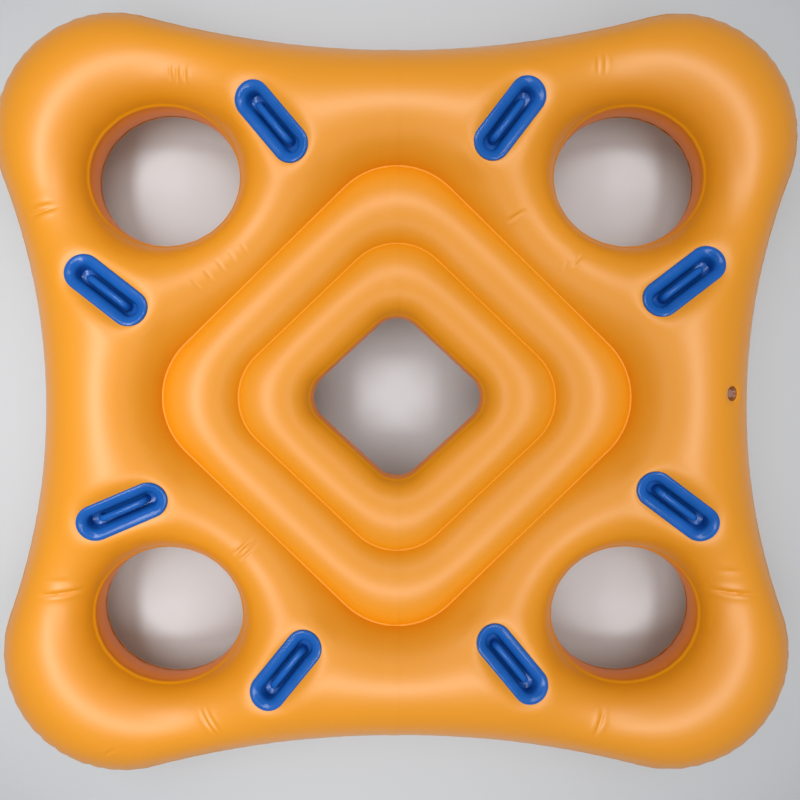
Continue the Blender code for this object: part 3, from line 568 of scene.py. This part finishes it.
# %% Folds
FOLDS = (
    # start, end, width, depth, swell
    ((-0.5275, 0.780), (-0.5295, 0.741), 0.0030, 0.0010, 0.0005),
    ((-0.5105, 0.778), (-0.5135, 0.735), 0.0030, 0.0012, 0.0006),
    ((-0.4925, 0.778), (-0.4945, 0.733), 0.0030, 0.0010, 0.0005),
    ((-0.8660, 0.424), (-0.7900, 0.448), 0.0040, 0.0034, 0.0016),
    ((-0.8640, 0.456), (-0.7950, 0.460), 0.0055, 0.0012, 0.0006),
    ((-0.4840, 0.280), (-0.4560, 0.255), 0.0034, 0.0015, 0.0007),
    ((-0.4560, 0.306), (-0.4290, 0.274), 0.0034, 0.0017, 0.0008),
    ((-0.4290, 0.330), (-0.4010, 0.296), 0.0034, 0.0017, 0.0008),
    ((-0.4000, 0.350), (-0.3760, 0.320), 0.0034, 0.0014, 0.0006),
    ((-0.3700, 0.366), (-0.3500, 0.340), 0.0034, 0.0009, 0.0004),
    ((0.4672, 0.804), (0.4668, 0.752), 0.0034, 0.0014, 0.0006),
    ((0.4850, 0.804), (0.4845, 0.754), 0.0034, 0.0012, 0.0006),
    ((0.2570, 0.413), (0.3050, 0.444), 0.0036, 0.0026, 0.0012),
    ((0.4130, 0.309), (0.4350, 0.341), 0.0034, 0.0021, 0.0010),
    ((0.3920, 0.296), (0.4040, 0.328), 0.0034, 0.0016, 0.0008),
    ((-0.8560, -0.4690), (-0.7480, -0.4600), 0.0042, 0.0038, 0.0020),
    ((-0.8400, -0.4350), (-0.7700, -0.4330), 0.0060, 0.0010, 0.0004),
    ((-0.3930, -0.377), (-0.3420, -0.330), 0.0038, 0.0028, 0.0014),
    ((-0.3790, -0.392), (-0.3290, -0.344), 0.0034, 0.0020, 0.0010),
    ((-0.4740, -0.738), (-0.4290, -0.811), 0.0034, 0.0018, 0.0008),
    ((-0.4620, -0.733), (-0.4180, -0.803), 0.0034, 0.0015, 0.0007),
    ((0.7460, -0.4600), (0.8700, -0.4690), 0.0044, 0.0040, 0.0020),
    ((0.7560, -0.4080), (0.8340, -0.4120), 0.0060, 0.0012, 0.0005),
    ((0.4970, -0.742), (0.4720, -0.818), 0.0040, 0.0026, 0.0014),
    ((-0.7030, -0.858), (-0.6700, -0.832), 0.0034, 0.0012, 0.0008),
)
FOLD_FADE = 1.5
SWELL_AT, SWELL_WIDTH = 2.7, 1.7
FINE_REACHES = (0.026, 0.017)
FINE_PAST_END = 1.15


def to_fold(spots, fold):
    """Each point's distance from a fold's line, and its place along it from -1 to 1."""
    start, end = np.array(fold[0]), np.array(fold[1])
    half = np.linalg.norm(end - start) / 2
    ahead = (end - start) / (2 * half)
    away = spots - (start + end) / 2
    return away @ (-ahead[1], ahead[0]), away @ ahead / half


def fold_depth(spots):
    """How far the folds move each point out of the sheet."""
    moved = np.zeros(len(spots))
    for fold in FOLDS:
        width, depth, swell = fold[2:]
        across, along = to_fold(spots, fold)
        share = np.clip(1.0 - along**2, 0.0, 1.0) ** FOLD_FADE
        beside = (np.abs(across) / width - SWELL_AT) / SWELL_WIDTH
        moved += share * (swell * np.exp(-(beside**2)) - depth * np.exp(-((across / width) ** 2)))
    return moved


def refine(bm, held, reach):
    """Divides the edges near the folds in two, apart from those that end on a weld."""
    spots = plan_of(bm)
    near = np.zeros(len(spots), bool)
    for fold in FOLDS:
        across, along = to_fold(spots, fold)
        near |= (np.abs(across) < reach) & (np.abs(along) < FINE_PAST_END)
    near &= np.array([vert[held] == 0.0 for vert in bm.verts])
    bm.verts.index_update()
    chosen = [edge for edge in bm.edges if near[edge.verts[0].index] and near[edge.verts[1].index]]
    bmesh.ops.subdivide_edges(bm, edges=chosen, cuts=1, use_grid_fill=True)
    bmesh.ops.triangulate(bm, faces=[face for face in bm.faces if len(face.verts) > 4])


print(len(FOLDS), "folds, the deepest", 1000 * max(fold[3] for fold in FOLDS), "mm")

# %% [markdown]
# Long welds never lie quite flat: the sheet puckers gently along them, most at the round corners,
# and the front left corner of this ring has four sharp kinks in its outline. Puckers and kinks are
# written as functions of the place along the weld, so that the sheets and the side bands, which
# share that weld, follow the same ones.

# %% Puckers along the welds
PUCKER = 0.0009
PUCKER_LENGTH = 0.043
PUCKER_FADE = 0.020
KINK_SPOTS = ((-0.864, -0.819), (-0.832, -0.850), (-0.802, -0.868), (-0.751, -0.8905))
KINK_WIDTH, KINK_DEPTH = 0.007, 0.0022
KINK_FADE = 1.6 * PUCKER_FADE
# the slow waves that make the puckers uneven: height and length
DRIFTS = ((1.3, 0.31), (0.9, 0.17))
CORNER_START, CORNER_RAMP, SIDE_SHARE = (0.58, 0.54), 0.12, 0.3

WELDS = [OUTLINE, *SEAT_LOOPS.values(), CENTRE_LOOP, diamond(OUTER_SEAM), diamond(INNER_SEAM)]
weld_tree = tree_of(np.vstack(WELDS))
outline_tree = tree_of(OUTLINE)
outline_step = np.linalg.norm(np.diff(OUTLINE, axis=0), axis=1).mean()
KINKS = [outline_step * outline_tree.find((x, y, 0.0))[1] for x, y in KINK_SPOTS]


def waves(run):
    """Uneven waves along a weld, between -1 and 1."""
    slow = sum(height * np.sin(2 * math.pi * run / length) for height, length in DRIFTS)
    return np.cos(2 * math.pi * run / PUCKER_LENGTH + slow)


def corner_share(spots):
    """1 on the ring's round corners, falling to a smaller share on its hollow sides."""
    side, end = np.clip((np.abs(spots) - CORNER_START) / CORNER_RAMP, 0.0, 1.0).T
    return SIDE_SHARE + (1 - SIDE_SHARE) * side * end


def kinks(run):
    """How near each place along the outline is to a kink, 1 at the kink itself."""
    return sum(np.exp(-(((run - spot) / KINK_WIDTH) ** 2)) for spot in KINKS)


def pucker_depth(spots):
    """How far the puckers and kinks move each point, and how near it is to a weld."""
    found = [weld_tree.find((x, y, 0.0)) for x, y in spots]
    number = np.array([hit[1] for hit in found])
    away = np.array([hit[2] for hit in found])
    run = number * outline_step
    fade = np.exp(-away / PUCKER_FADE)
    moved = PUCKER * corner_share(spots) * waves(run) * fade
    outer = number < len(OUTLINE)
    moved -= np.where(outer, KINK_DEPTH * kinks(run) * np.exp(-away / KINK_FADE), 0.0)
    return moved, away


print("weld points", sum(len(loop) for loop in WELDS), "and", len(KINKS), "kinks")

# %% [markdown]
# A handle or valve has a stiff flat foot, so the sheet is flat beneath it. A film under pressure
# leaves such a foot at a slight angle and then eases back to its own curve. The ease starts a
# millimetre inside the foot's edge, and a handle's reaches further than the small valve's.

# %% Seats of the fittings
EASE_START = -0.001
EASE_POWER = 2.4
HANDLE_EASE, VALVE_EASE = 0.055, 0.022
HANDLE_LIFT = 0.0003


def seat_heights(spots, heights):
    """The heights with the sheet drawn flat under the handles and the valve."""
    half, reach = HANDLE_WIDTH / 2, (HANDLE_LENGTH - HANDLE_WIDTH) / 2
    seats = [(place, reach, half, HANDLE_LIFT, HANDLE_EASE) for place in HANDLES.values()]
    seats.append((VALVE, 0.0, VALVE_MOUTH, 0.0, VALVE_EASE))
    for place, reach, radius, lift, ease in seats:
        origin, normal = place.translation, place.to_3x3().col[2]
        near = np.hypot(*(spots - origin[:2]).T) < reach + radius + EASE_START + ease
        away = spots[near] - origin[:2]
        plane = origin.z - lift / normal.z - away @ normal[:2] / normal.z - MIDDLE
        solid = np.column_stack([away, plane + MIDDLE - origin.z])
        flat = solid @ np.array(place.to_3x3())
        beyond = np.hypot(np.maximum(np.abs(flat[:, 0]) - reach, 0.0), flat[:, 1]) - radius
        share = np.clip((beyond - EASE_START) / ease, 0.0, 1.0)
        share = 1 - (1 - share) ** EASE_POWER
        heights[near] = plane + share * (heights[near] - plane)
    return heights


print("the sheet eases over", 1000 * HANDLE_EASE, "mm round a handle")

# %% [markdown]
# The parts come together here. A whole sheet is planned and blown up, its cut-outs are opened, and
# folds and puckers move it along its own normals. The bottom sheet is the same without cut-outs and
# folds, and there the floor presses the ridges flat.

# %% Blowing up a whole sheet
FLOOR_SOFTNESS = 0.003
WELD_FADE = 0.008


def cut_out(bm, loop):
    """Deletes the faces inside a loop."""
    centres = np.array([face.calc_center_median()[:2] for face in bm.faces])
    gone = [face for face, drop in zip(bm.faces, inside(centres, loop)) if drop]
    bmesh.ops.delete(bm, geom=gone, context="FACES")


def face_up(bm):
    """Turns the faces so that they point out of the ring, upwards."""
    bmesh.ops.recalc_face_normals(bm, faces=bm.faces)
    if sum(face.normal.z for face in bm.faces) < 0:
        bmesh.ops.reverse_faces(bm, faces=bm.faces)
    bm.normal_update()


def crease(bm, folded):
    """Adds puckers and folds along the normals, and marks how near each point is to a weld."""
    spots = plan_of(bm)
    moved, away = pucker_depth(spots)
    if folded:
        moved += fold_depth(spots)
    # this nearness to a weld also deepens the vinyl's colour there, as painted shade
    weld = bm.verts.layers.float.new("weld")
    for vert, distance, near in zip(bm.verts, moved.tolist(), np.exp(-away / WELD_FADE).tolist()):
        vert.co += vert.normal * distance
        vert[weld] = near


def blown_sheet(top):
    """A whole blown-up sheet, with the attribute that says how near each point is to a weld."""
    cuts = CUTS if top else []
    bm, held, borders = flat_sheet(cuts)
    fill_middle(bm, borders)
    for reach in FINE_REACHES if top else ():
        refine(bm, held, reach)
    spots = plan_of(bm)
    heights = blow_up(bm, held)
    if top:
        heights = seat_heights(spots, heights)
    for vert, height in zip(bm.verts, heights):
        vert.co.z = height
    for loop, _ in cuts:
        cut_out(bm, loop)
    face_up(bm)
    crease(bm, folded=top)
    bm.verts.layers.float.remove(bm.verts.layers.float["held"])
    for vert in bm.verts:
        vert.co.z = MIDDLE + (vert.co.z if top else -vert.co.z)
        if not top:
            vert.co.z = (vert.co.z + math.hypot(vert.co.z, FLOOR_SOFTNESS)) / 2
    if not top:
        bmesh.ops.reverse_faces(bm, faces=bm.faces)
    return bm


print("the floor's press fades over", 1000 * FLOOR_SOFTNESS, "mm")

# %% [markdown]
# Real sheets of this size are welded from two halves, with a lap at the middle. So each sheet is cut
# in two, and the left half is lifted by a little more than the film's thickness where it laps over
# the right one. Solidify then gives the skin its thickness, and the finished piece rides on its body
# and stands for its CAD node.

# %% Two halves with a lap
SHEET_THICKNESS = 0.0009
LAP_END, LAP_START = 0.0045, -0.019
LAP_RISE, LAP_SLOPE = 0.0011, 0.006


def half_of(whole, side):
    """One half of a sheet or band: 1 for the right half, -1 for the left, which laps over it."""
    bm = whole.copy()
    edge = Vector((LAP_START if side > 0 else LAP_END, 0.0, 0.0))
    ahead = Vector((-side, 0.0, 0.0))
    everything = bm.verts[:] + bm.edges[:] + bm.faces[:]
    bmesh.ops.bisect_plane(
        bm, geom=everything, dist=MERGE, plane_co=edge, plane_no=ahead, clear_outer=True
    )
    if side < 0:
        bm.normal_update()
        for vert in bm.verts:
            share = min(max((vert.co.x - LAP_START + LAP_SLOPE) / LAP_SLOPE, 0.0), 1.0)
            vert.co += vert.normal * (LAP_RISE * share)
    return bm


def add_piece(name, bm, material, body="root", sharp=40.0):
    """A finished piece that rides on a body and takes a slot's finish; sharp is in degrees."""
    mesh = bpy.data.meshes.new(name)
    bm.to_mesh(mesh)
    bm.free()
    mesh.materials.append(material)
    mesh.shade_smooth()
    mesh.set_sharp_from_angle(angle=math.radians(sharp))
    piece = bpy.data.objects.new(name, mesh)
    bpy.context.scene.collection.objects.link(piece)
    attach(piece, body)
    return piece


def thicken(bm):
    """Gives a skin its sheet thickness, inwards from its outer face."""
    bmesh.ops.solidify(bm, geom=bm.faces[:], thickness=SHEET_THICKNESS)
    return bm


def add_skin(node, bm, material):
    """A film piece that stands for a CAD node."""
    piece = add_piece(f"{node}_skin", thicken(bm), material)
    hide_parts(node)
    print(piece.name, len(piece.data.polygons), "faces")


def add_halves(node, whole):
    """Both halves of a sheet or band, which the middle weld joins."""
    for side, word in ((-1, "left"), (1, "right")):
        add_skin(f"{node}_{word}", half_of(whole, side), sheet_vinyl)
    whole.free()


add_halves("top_sheet", blown_sheet(top=True))
add_halves("bottom_sheet", blown_sheet(top=False))

# %% [markdown]
# The side bands and the walls of the holes are upright strips between the two sheets. The pressure
# bows them out by eight millimetres. Each is made as a stack of rings that follow the weld line,
# bowed in a shallow curve, with the puckers and kinks of the weld at its edges.

# %% Bands and walls
BAND_HALF = 0.0436
BAND_ROWS = 11
BAND_FADE = 0.016
RIPPLE, RIPPLE_MIDDLE = 0.6, 0.4
KINK_LOSS = 0.4


def bowed_strip(loop, away, corner_kinks=False):
    """An upright strip along a weld, bowed outwards for away 1 and inwards for -1."""
    out = normals_of(loop)
    bm = bmesh.new()
    run = np.arange(len(loop)) * outline_step
    rings = []
    for height in np.linspace(-BAND_HALF, BAND_HALF, BAND_ROWS):
        bow = BULGE * (1 - (height / BAND_HALF) ** 2)
        edge_share = math.exp((abs(height) - BAND_HALF) / BAND_FADE)
        ripple = PUCKER * corner_share(loop) * waves(run)
        shift = bow + RIPPLE * ripple * (RIPPLE_MIDDLE + edge_share)
        if corner_kinks:
            shift = shift - KINK_DEPTH * kinks(run) * (1 - KINK_LOSS * edge_share)
        row = loop + away * shift[:, None] * out
        rings.append(ring_of(bm, row, MIDDLE + height))
    bridged(bm, rings)
    bmesh.ops.recalc_face_normals(bm, faces=bm.faces)
    middle = Vector((*loop.mean(axis=0), MIDDLE))
    facing = sum(face.normal.dot(face.calc_center_median() - middle) for face in bm.faces)
    if facing * away < 0:
        bmesh.ops.reverse_faces(bm, faces=bm.faces)
    # the band's edges meet the sheets in a crease, so they take the painted weld shade too
    weld = bm.verts.layers.float.new("weld")
    for vert in bm.verts:
        vert[weld] = math.exp((abs(vert.co.z - MIDDLE) - BAND_HALF) / WELD_FADE)
    return bm


add_halves("side_band", bowed_strip(OUTLINE, 1, corner_kinks=True))
for name, loop in SEAT_LOOPS.items():
    add_skin(f"seat_wall_{name}", bowed_strip(loop, -1), wall_vinyl)
add_skin("centre_wall", bowed_strip(CENTRE_LOOP, -1), wall_vinyl)

# %% [markdown]
# The floor is a plain pale sheet. The light is soft and plain: a dim even world, and a frame of four
# soft bars round the camera, which puts the broad satin highlight on the crest of every ridge. Each
# bar shines mostly straight down, so the slopes keep their deeper colour. The left bar is the
# strongest and the right one the weakest. The levels are set so that a colour renders about as
# written.

# %% Floor and light
FLOOR, FLOOR_ROUGHNESS, FLOOR_HALF = (0.60, 0.62, 0.64), 0.6, 6.0
WORLD, WORLD_STRENGTH = (0.93, 0.96, 1.0, 1.0), 0.24
BAR_PLACE, BAR_WIDTH, BAR_LENGTH = 1.15, 0.32, 1.8
BAR_SPREAD = math.radians(100)
BARS = (
    # name, direction from the middle, power in watts
    ("left bar", (-1, 0), 11.4),
    ("right bar", (1, 0), 7.2),
    ("front bar", (0, -1), 8.4),
    ("rear bar", (0, 1), 7.8),
)


def stage_floor():
    """A plain square sheet under the ring, which isn't part of the object."""
    bm = bmesh.new()
    bmesh.ops.create_grid(bm, x_segments=1, y_segments=1, size=FLOOR_HALF)
    mesh = bpy.data.meshes.new("floor")
    bm.to_mesh(mesh)
    bm.free()
    floor = bpy.data.objects.new("floor", mesh)
    material, _, _ = start_material("pale floor", FLOOR, FLOOR_ROUGHNESS)
    mesh.materials.append(material)
    bpy.context.scene.collection.objects.link(floor)


def soft_bar(name, way, power):
    """A soft bar at the camera's height; its long side runs across the way to the middle."""
    data = bpy.data.lights.new(name, "AREA")
    data.shape = "RECTANGLE"
    data.size, data.size_y = (BAR_WIDTH, BAR_LENGTH) if way[0] else (BAR_LENGTH, BAR_WIDTH)
    data.spread = BAR_SPREAD
    data.energy = power
    light = bpy.data.objects.new(name, data)
    light.location = (BAR_PLACE * way[0], BAR_PLACE * way[1], MIDDLE + CAMERA_HEIGHT)
    light.visible_camera = False
    bpy.context.scene.collection.objects.link(light)


stage_floor()
world = bpy.data.worlds.new("studio")
bpy.context.scene.world = world
world.use_nodes = True
background = world.node_tree.nodes["Background"]
background.inputs["Color"].default_value = WORLD
background.inputs["Strength"].default_value = WORLD_STRENGTH
for bar in BARS:
    soft_bar(*bar)
bpy.context.scene.view_settings.view_transform = "Standard"
print("floor and lights made")

# %% [markdown]
# Each grab handle is one soft moulding: a flange that is welded to the sheet, a deep cup for the
# knuckles, and a grip that bridges it. The flange swells slightly to a faint step, the mark of the
# welding tool, and then rolls over softly into the cup. Rings that shrink towards the middle follow
# that section round the slot shape, and bridging them makes the whole skin. A loft suits it better
# than a bevelled block, because every edge of a moulding has its own roundness.

# %% Handle flange and cup
END_STEPS, SIDE_STEPS = 22, 14
HANDLE_SECTION = (
    # inset from the outer edge and height over the sheet, in millimetres, from the flange's
    # underside over the rim and down into the cup
    (14.5, 0.0), (1.3, 0.0), (0.4, 0.2), (0.0, 0.8), (0.0, 2.0), (0.4, 3.2), (1.4, 4.2), (3.1, 4.75),
    (5.4, 4.98), (7.8, 4.96), (8.4, 4.84), (8.8, 4.66), (9.2, 4.58), (11.0, 4.44), (12.8, 4.1),
    (14.8, 3.5), (17.0, 2.5), (19.2, 1.1), (21.3, -0.7), (23.2, -3.0), (24.7, -6.0), (25.7, -9.8),
    (26.3, -15.0), (26.6, -21.0), (26.9, -27.0), (27.2, -31.2), (27.9, -32.9), (29.2, -33.5),
)
CUP_SECTION = (
    (14.5, 0.0), (16.6, -1.2), (19.6, -3.4), (21.8, -6.6), (23.2, -11.0), (24.0, -17.0), (24.4, -24.0),
    (24.8, -31.0), (25.4, -34.4), (27.2, -36.0),
)


def slot_ring(inset):
    """A slot shape set in from the handle's edge, always with the same number of points."""
    radius = HANDLE_WIDTH / 2 - inset
    reach = (HANDLE_LENGTH - HANDLE_WIDTH) / 2
    along = np.linspace(reach, -reach, SIDE_STEPS, endpoint=False)
    return np.vstack([
        arc((reach, 0.0), radius, -math.pi / 2, math.pi / 2, END_STEPS),
        np.column_stack([along, np.full(SIDE_STEPS, radius)]),
        arc((-reach, 0.0), radius, math.pi / 2, 3 * math.pi / 2, END_STEPS),
        np.column_stack([-along, np.full(SIDE_STEPS, -radius)]),
    ])


def skinned(bm, section):
    """Bridges the rings of a section and closes the last one with a floor."""
    rings = [ring_of(bm, slot_ring(inset / 1000), height / 1000) for inset, height in section]
    bridged(bm, rings)
    bmesh.ops.contextual_create(bm, geom=rings[-1])


moulding = bmesh.new()
skinned(moulding, HANDLE_SECTION)
skinned(moulding, CUP_SECTION)
bmesh.ops.remove_doubles(moulding, verts=moulding.verts, dist=MERGE)
print("flange and cup of", len(moulding.faces), "faces")

# %% [markdown]
# The grip is a rounded bar that rises from the cup's floor, bends, and runs along just below the
# rim with a slight arch. Its section is an oval, wider than high, and its feet flare where they
# meet the floor. Circles set along the path and bridged give it, with its feet sunk in the floor.

# %% Handle grip
GRIP_HALF, GRIP_SEGMENTS = (0.0070, 0.0082), 22
BEND_STEPS, RUN_STEPS = 9, 7
GRIP_LEG, GRIP_BEND = 0.056, 0.015
GRIP_LINE, GRIP_ARCH = -0.0090, 0.0018
GRIP_FEET = ((-0.0346, 1.42), (-0.0332, 1.30), (-0.0312, 1.13), (-0.0285, 1.03), (-0.0255, 1.0))


def grip_path():
    """Places, turns and swellings along the grip, from one foot to the other."""
    half = [(GRIP_LEG, height, 0.0, swell) for height, swell in GRIP_FEET]
    start = GRIP_LEG - GRIP_BEND
    for turn in np.linspace(0.0, math.pi / 2, BEND_STEPS):
        x = start + GRIP_BEND * math.cos(turn)
        z = GRIP_LINE - GRIP_BEND * (1 - math.sin(turn))
        half.append((x, z, turn, 1.0))
    for x in np.linspace(start, 0.0, RUN_STEPS)[1:]:
        z = GRIP_LINE + GRIP_ARCH * (1 - (x / start) ** 2)
        half.append((x, z, math.pi / 2, 1.0))
    return half + [(-x, z, math.pi - turn, swell) for x, z, turn, swell in half[-2::-1]]


def grip_ring(bm, x, z, turn, swell):
    """One oval ring of the grip, its long side across the handle."""
    size = Matrix.Diagonal((swell * GRIP_HALF[0], swell * GRIP_HALF[1], 1.0, 1.0))
    place = Matrix.Translation((x, 0.0, z)) @ Matrix.Rotation(-turn, 4, "Y") @ size
    made = bmesh.ops.create_circle(bm, segments=GRIP_SEGMENTS, radius=1.0, matrix=place)
    return list({edge for vert in made["verts"] for edge in vert.link_edges})


rings = [grip_ring(moulding, *spot) for spot in grip_path()]
bridged(moulding, rings)
for ring in (rings[0], rings[-1]):
    bmesh.ops.contextual_create(moulding, geom=ring)
bmesh.ops.recalc_face_normals(moulding, faces=moulding.faces)
print("handle of", len(moulding.faces), "faces, open edges", sum(e.is_boundary for e in moulding.edges))

# %% [markdown]
# The handles are glossy coloured vinyl, a deep even blue. The gloss is a clear coat over a slightly
# rougher body. Faint cloudiness in the colour, a fine grain and a slow ripple of the surface keep it
# from looking like painted steel, and small scuffs all over it are a touch duller.

# %% Blue moulding material
BLUE = (0.0030, 0.086, 0.360)
PALER, PALER_PLUS = 1.35, 0.012
BLUE_BUMPS = ((1100.0, 2.0, 0.08, 0.0003), (55.0, 2.0, 0.22, 0.0016))


def moulded_blue():
    """Glossy coloured vinyl with scuffs that are duller than the rest."""
    material, tree, shader = start_material("glossy blue moulding", BLUE, 0.32)
    pale = [min(1.0, PALER * part + PALER_PLUS) for part in BLUE]
    tinted(tree, shader, noise(tree, scale=22.0, detail=4.0), BLUE, pale)
    scuffs = noise(tree, scale=160.0, detail=6.0, roughness=0.7)
    levels = {"From Min": 0.45, "From Max": 0.75, "To Min": 0.28, "To Max": 0.42}
    worn = add_node(tree, "ShaderNodeMapRange", {"Value": scuffs} | levels)
    tree.links.new(worn.outputs[0], shader.inputs["Roughness"])
    bumpy(tree, shader, BLUE_BUMPS)
    shader.inputs["Specular IOR Level"].default_value = 0.10
    shader.inputs["Coat Weight"].default_value = 0.22
    shader.inputs["Coat Roughness"].default_value = 0.08
    return material


blue_vinyl = moulded_blue()
for name, place in HANDLES.items():
    bm = moulding.copy()
    bmesh.ops.transform(bm, matrix=place, verts=bm.verts)
    piece = add_piece(f"{name}_moulding", bm, blue_vinyl, sharp=50.0)
    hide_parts(name)
moulding.free()
print(len(HANDLES), "handles made")

# %% [markdown]
# The valve is three round mouldings of soft cloudy vinyl and a flap. The base is a dish welded under
# the sheet, with a collar. The neck slides in the collar and holds a seat for the plug, and the plug
# hangs on a short strap. Each is a section turned round its axis, which is what spin is for. Their
# faces stay where the CAD has them, so that the joints still fit.

# %% Valve mouldings
BASE_SECTION = (
    (17.2, -1.2), (20.7, -1.2), (21.0, -1.5), (21.0, -2.1), (20.7, -2.4), (18.6, -2.4), (17.2, -4.2),
    (14.9, -8.0), (14.5, -9.0), (14.5, -21.6), (14.1, -22.0), (12.9, -22.0), (12.5, -21.6), (12.5, -7.3),
    (12.7, -6.7), (13.2, -6.1), (15.2, -3.9), (16.4, -2.3),
)
STEM_SECTION = (
    (7.0, -7.2), (7.2, -6.7), (7.6, -6.5), (11.4, -6.5), (11.9, -6.7), (12.1, -7.1), (12.1, -34.3),
    (16.2, -34.3), (16.5, -34.6), (16.5, -35.5), (16.2, -35.8), (7.3, -35.8), (7.0, -35.5),
)
PLUG_SECTION = (
    (0.0, -5.25), (4.6, -5.2), (5.5, -4.95), (6.2, -4.68), (7.0, -4.6), (9.0, -4.62), (9.5, -4.75),
    (9.8, -5.1), (9.8, -5.8), (9.6, -6.1), (9.2, -6.2), (6.5, -6.2), (6.3, -6.6), (5.9, -8.2),
    (6.1, -8.9), (5.9, -9.6), (5.4, -11.6), (4.8, -12.4), (3.8, -12.7), (0.0, -12.7),
)
SPIN_STEPS = 48
# two corners, in millimetres, of the hinge block on the neck and of the plug's strap
HINGE_BLOCK = ((11.0, -2.4, -7.4), (11.9, 2.4, -4.9))
PLUG_STRAP = ((8.0, -2.4, -6.1), (10.85, 2.4, -4.7))
BLOCK_ROUNDING = 0.0003


def spun(section, closed=True):
    """A section in millimetres of radius and height, spun once round the valve's axis."""
    bm = bmesh.new()
    verts = [bm.verts.new((radius / 1000, 0.0, height / 1000)) for radius, height in section]
    edges = [bm.edges.new(pair) for pair in zip(verts, verts[1:])]
    if closed:
        edges.append(bm.edges.new((verts[-1], verts[0])))
    around = {"cent": (0.0, 0.0, 0.0), "axis": (0.0, 0.0, 1.0), "angle": 2 * math.pi}
    bmesh.ops.spin(bm, geom=verts + edges, steps=SPIN_STEPS, use_merge=True, **around)
    bmesh.ops.remove_doubles(bm, verts=bm.verts, dist=MERGE)
    return bm


def add_block(bm, low, high):
    """A small block between two corners in millimetres, with its edges rounded."""
    low, high = Vector(low) / 1000, Vector(high) / 1000
    place = Matrix.Translation((low + high) / 2) @ Matrix.Diagonal((*(high - low), 1.0))
    made = bmesh.ops.create_cube(bm, size=1.0, matrix=place)
    edges = list({edge for vert in made["verts"] for edge in vert.link_edges})
    bmesh.ops.bevel(
        bm, geom=edges, offset=BLOCK_ROUNDING, segments=3, profile=0.5, affect="EDGES", material=-1,
        clamp_overlap=True,
    )


base = spun(BASE_SECTION)
stem = spun(STEM_SECTION)
add_block(stem, *HINGE_BLOCK)
plug = spun(PLUG_SECTION, closed=False)
add_block(plug, *PLUG_STRAP)
print("valve sections of", [len(bm.faces) for bm in (base, stem, plug)], "faces")

# %% [markdown]
# The valve's vinyl is thick and soft. On the photographed ring the valve is a small brownish ring
# with a paler middle, so the dish and the neck are tinted and the plug is milky. A clear coat over
# a cloudy mix of two close colours gives that look without a slow glass shader.

# %% Valve vinyl
DISH, DISH_DEEP = (0.36, 0.105, 0.022), (0.24, 0.070, 0.020)
MILKY, MILKY_DEEP = (0.40, 0.215, 0.165), (0.32, 0.165, 0.125)
VALVE_BUMPS = ((240.0, 2.0, 0.25, 0.0004),)


def cloudy_vinyl(name, colour, deep, roughness):
    """Thick soft vinyl, neither clear nor solid in colour."""
    material, tree, shader = start_material(name, colour, roughness)
    tinted(tree, shader, noise(tree, scale=130.0, detail=3.0), colour, deep)
    bumpy(tree, shader, VALVE_BUMPS)
    shader.inputs["Coat Weight"].default_value = 0.3
    shader.inputs["Coat Roughness"].default_value = 0.12
    return material


dish_vinyl = cloudy_vinyl("tinted valve vinyl", DISH, DISH_DEEP, roughness=0.34)
milky_vinyl = cloudy_vinyl("milky valve vinyl", MILKY, MILKY_DEEP, roughness=0.30)

for name, bm, material in (
    ("valve_base", base, dish_vinyl),
    ("valve_stem", stem, dish_vinyl),
    ("valve_plug", plug, milky_vinyl),
):
    bmesh.ops.recalc_face_normals(bm, faces=bm.faces)
    bmesh.ops.transform(bm, matrix=VALVE, verts=bm.verts)
    body = "root" if name == "valve_base" else name
    piece = add_piece(f"{name}_moulding", bm, material, body=body, sharp=50.0)
    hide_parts(name)
    print(piece.name, len(piece.data.polygons), "faces")

# %% [markdown]
# Three CAD nodes are right as they are and only need a finish. The flap is cut from the same milky
# vinyl as the plug, and the two webs, sealed in between the sheets, from the same vinyl as the walls.

# %% Carried-over nodes
nodes["valve_flap"].material_slots[0].material = milky_vinyl
for name in ("outer_web", "inner_web"):
    nodes[name].material_slots[0].material = wall_vinyl
print("flap and webs finished")
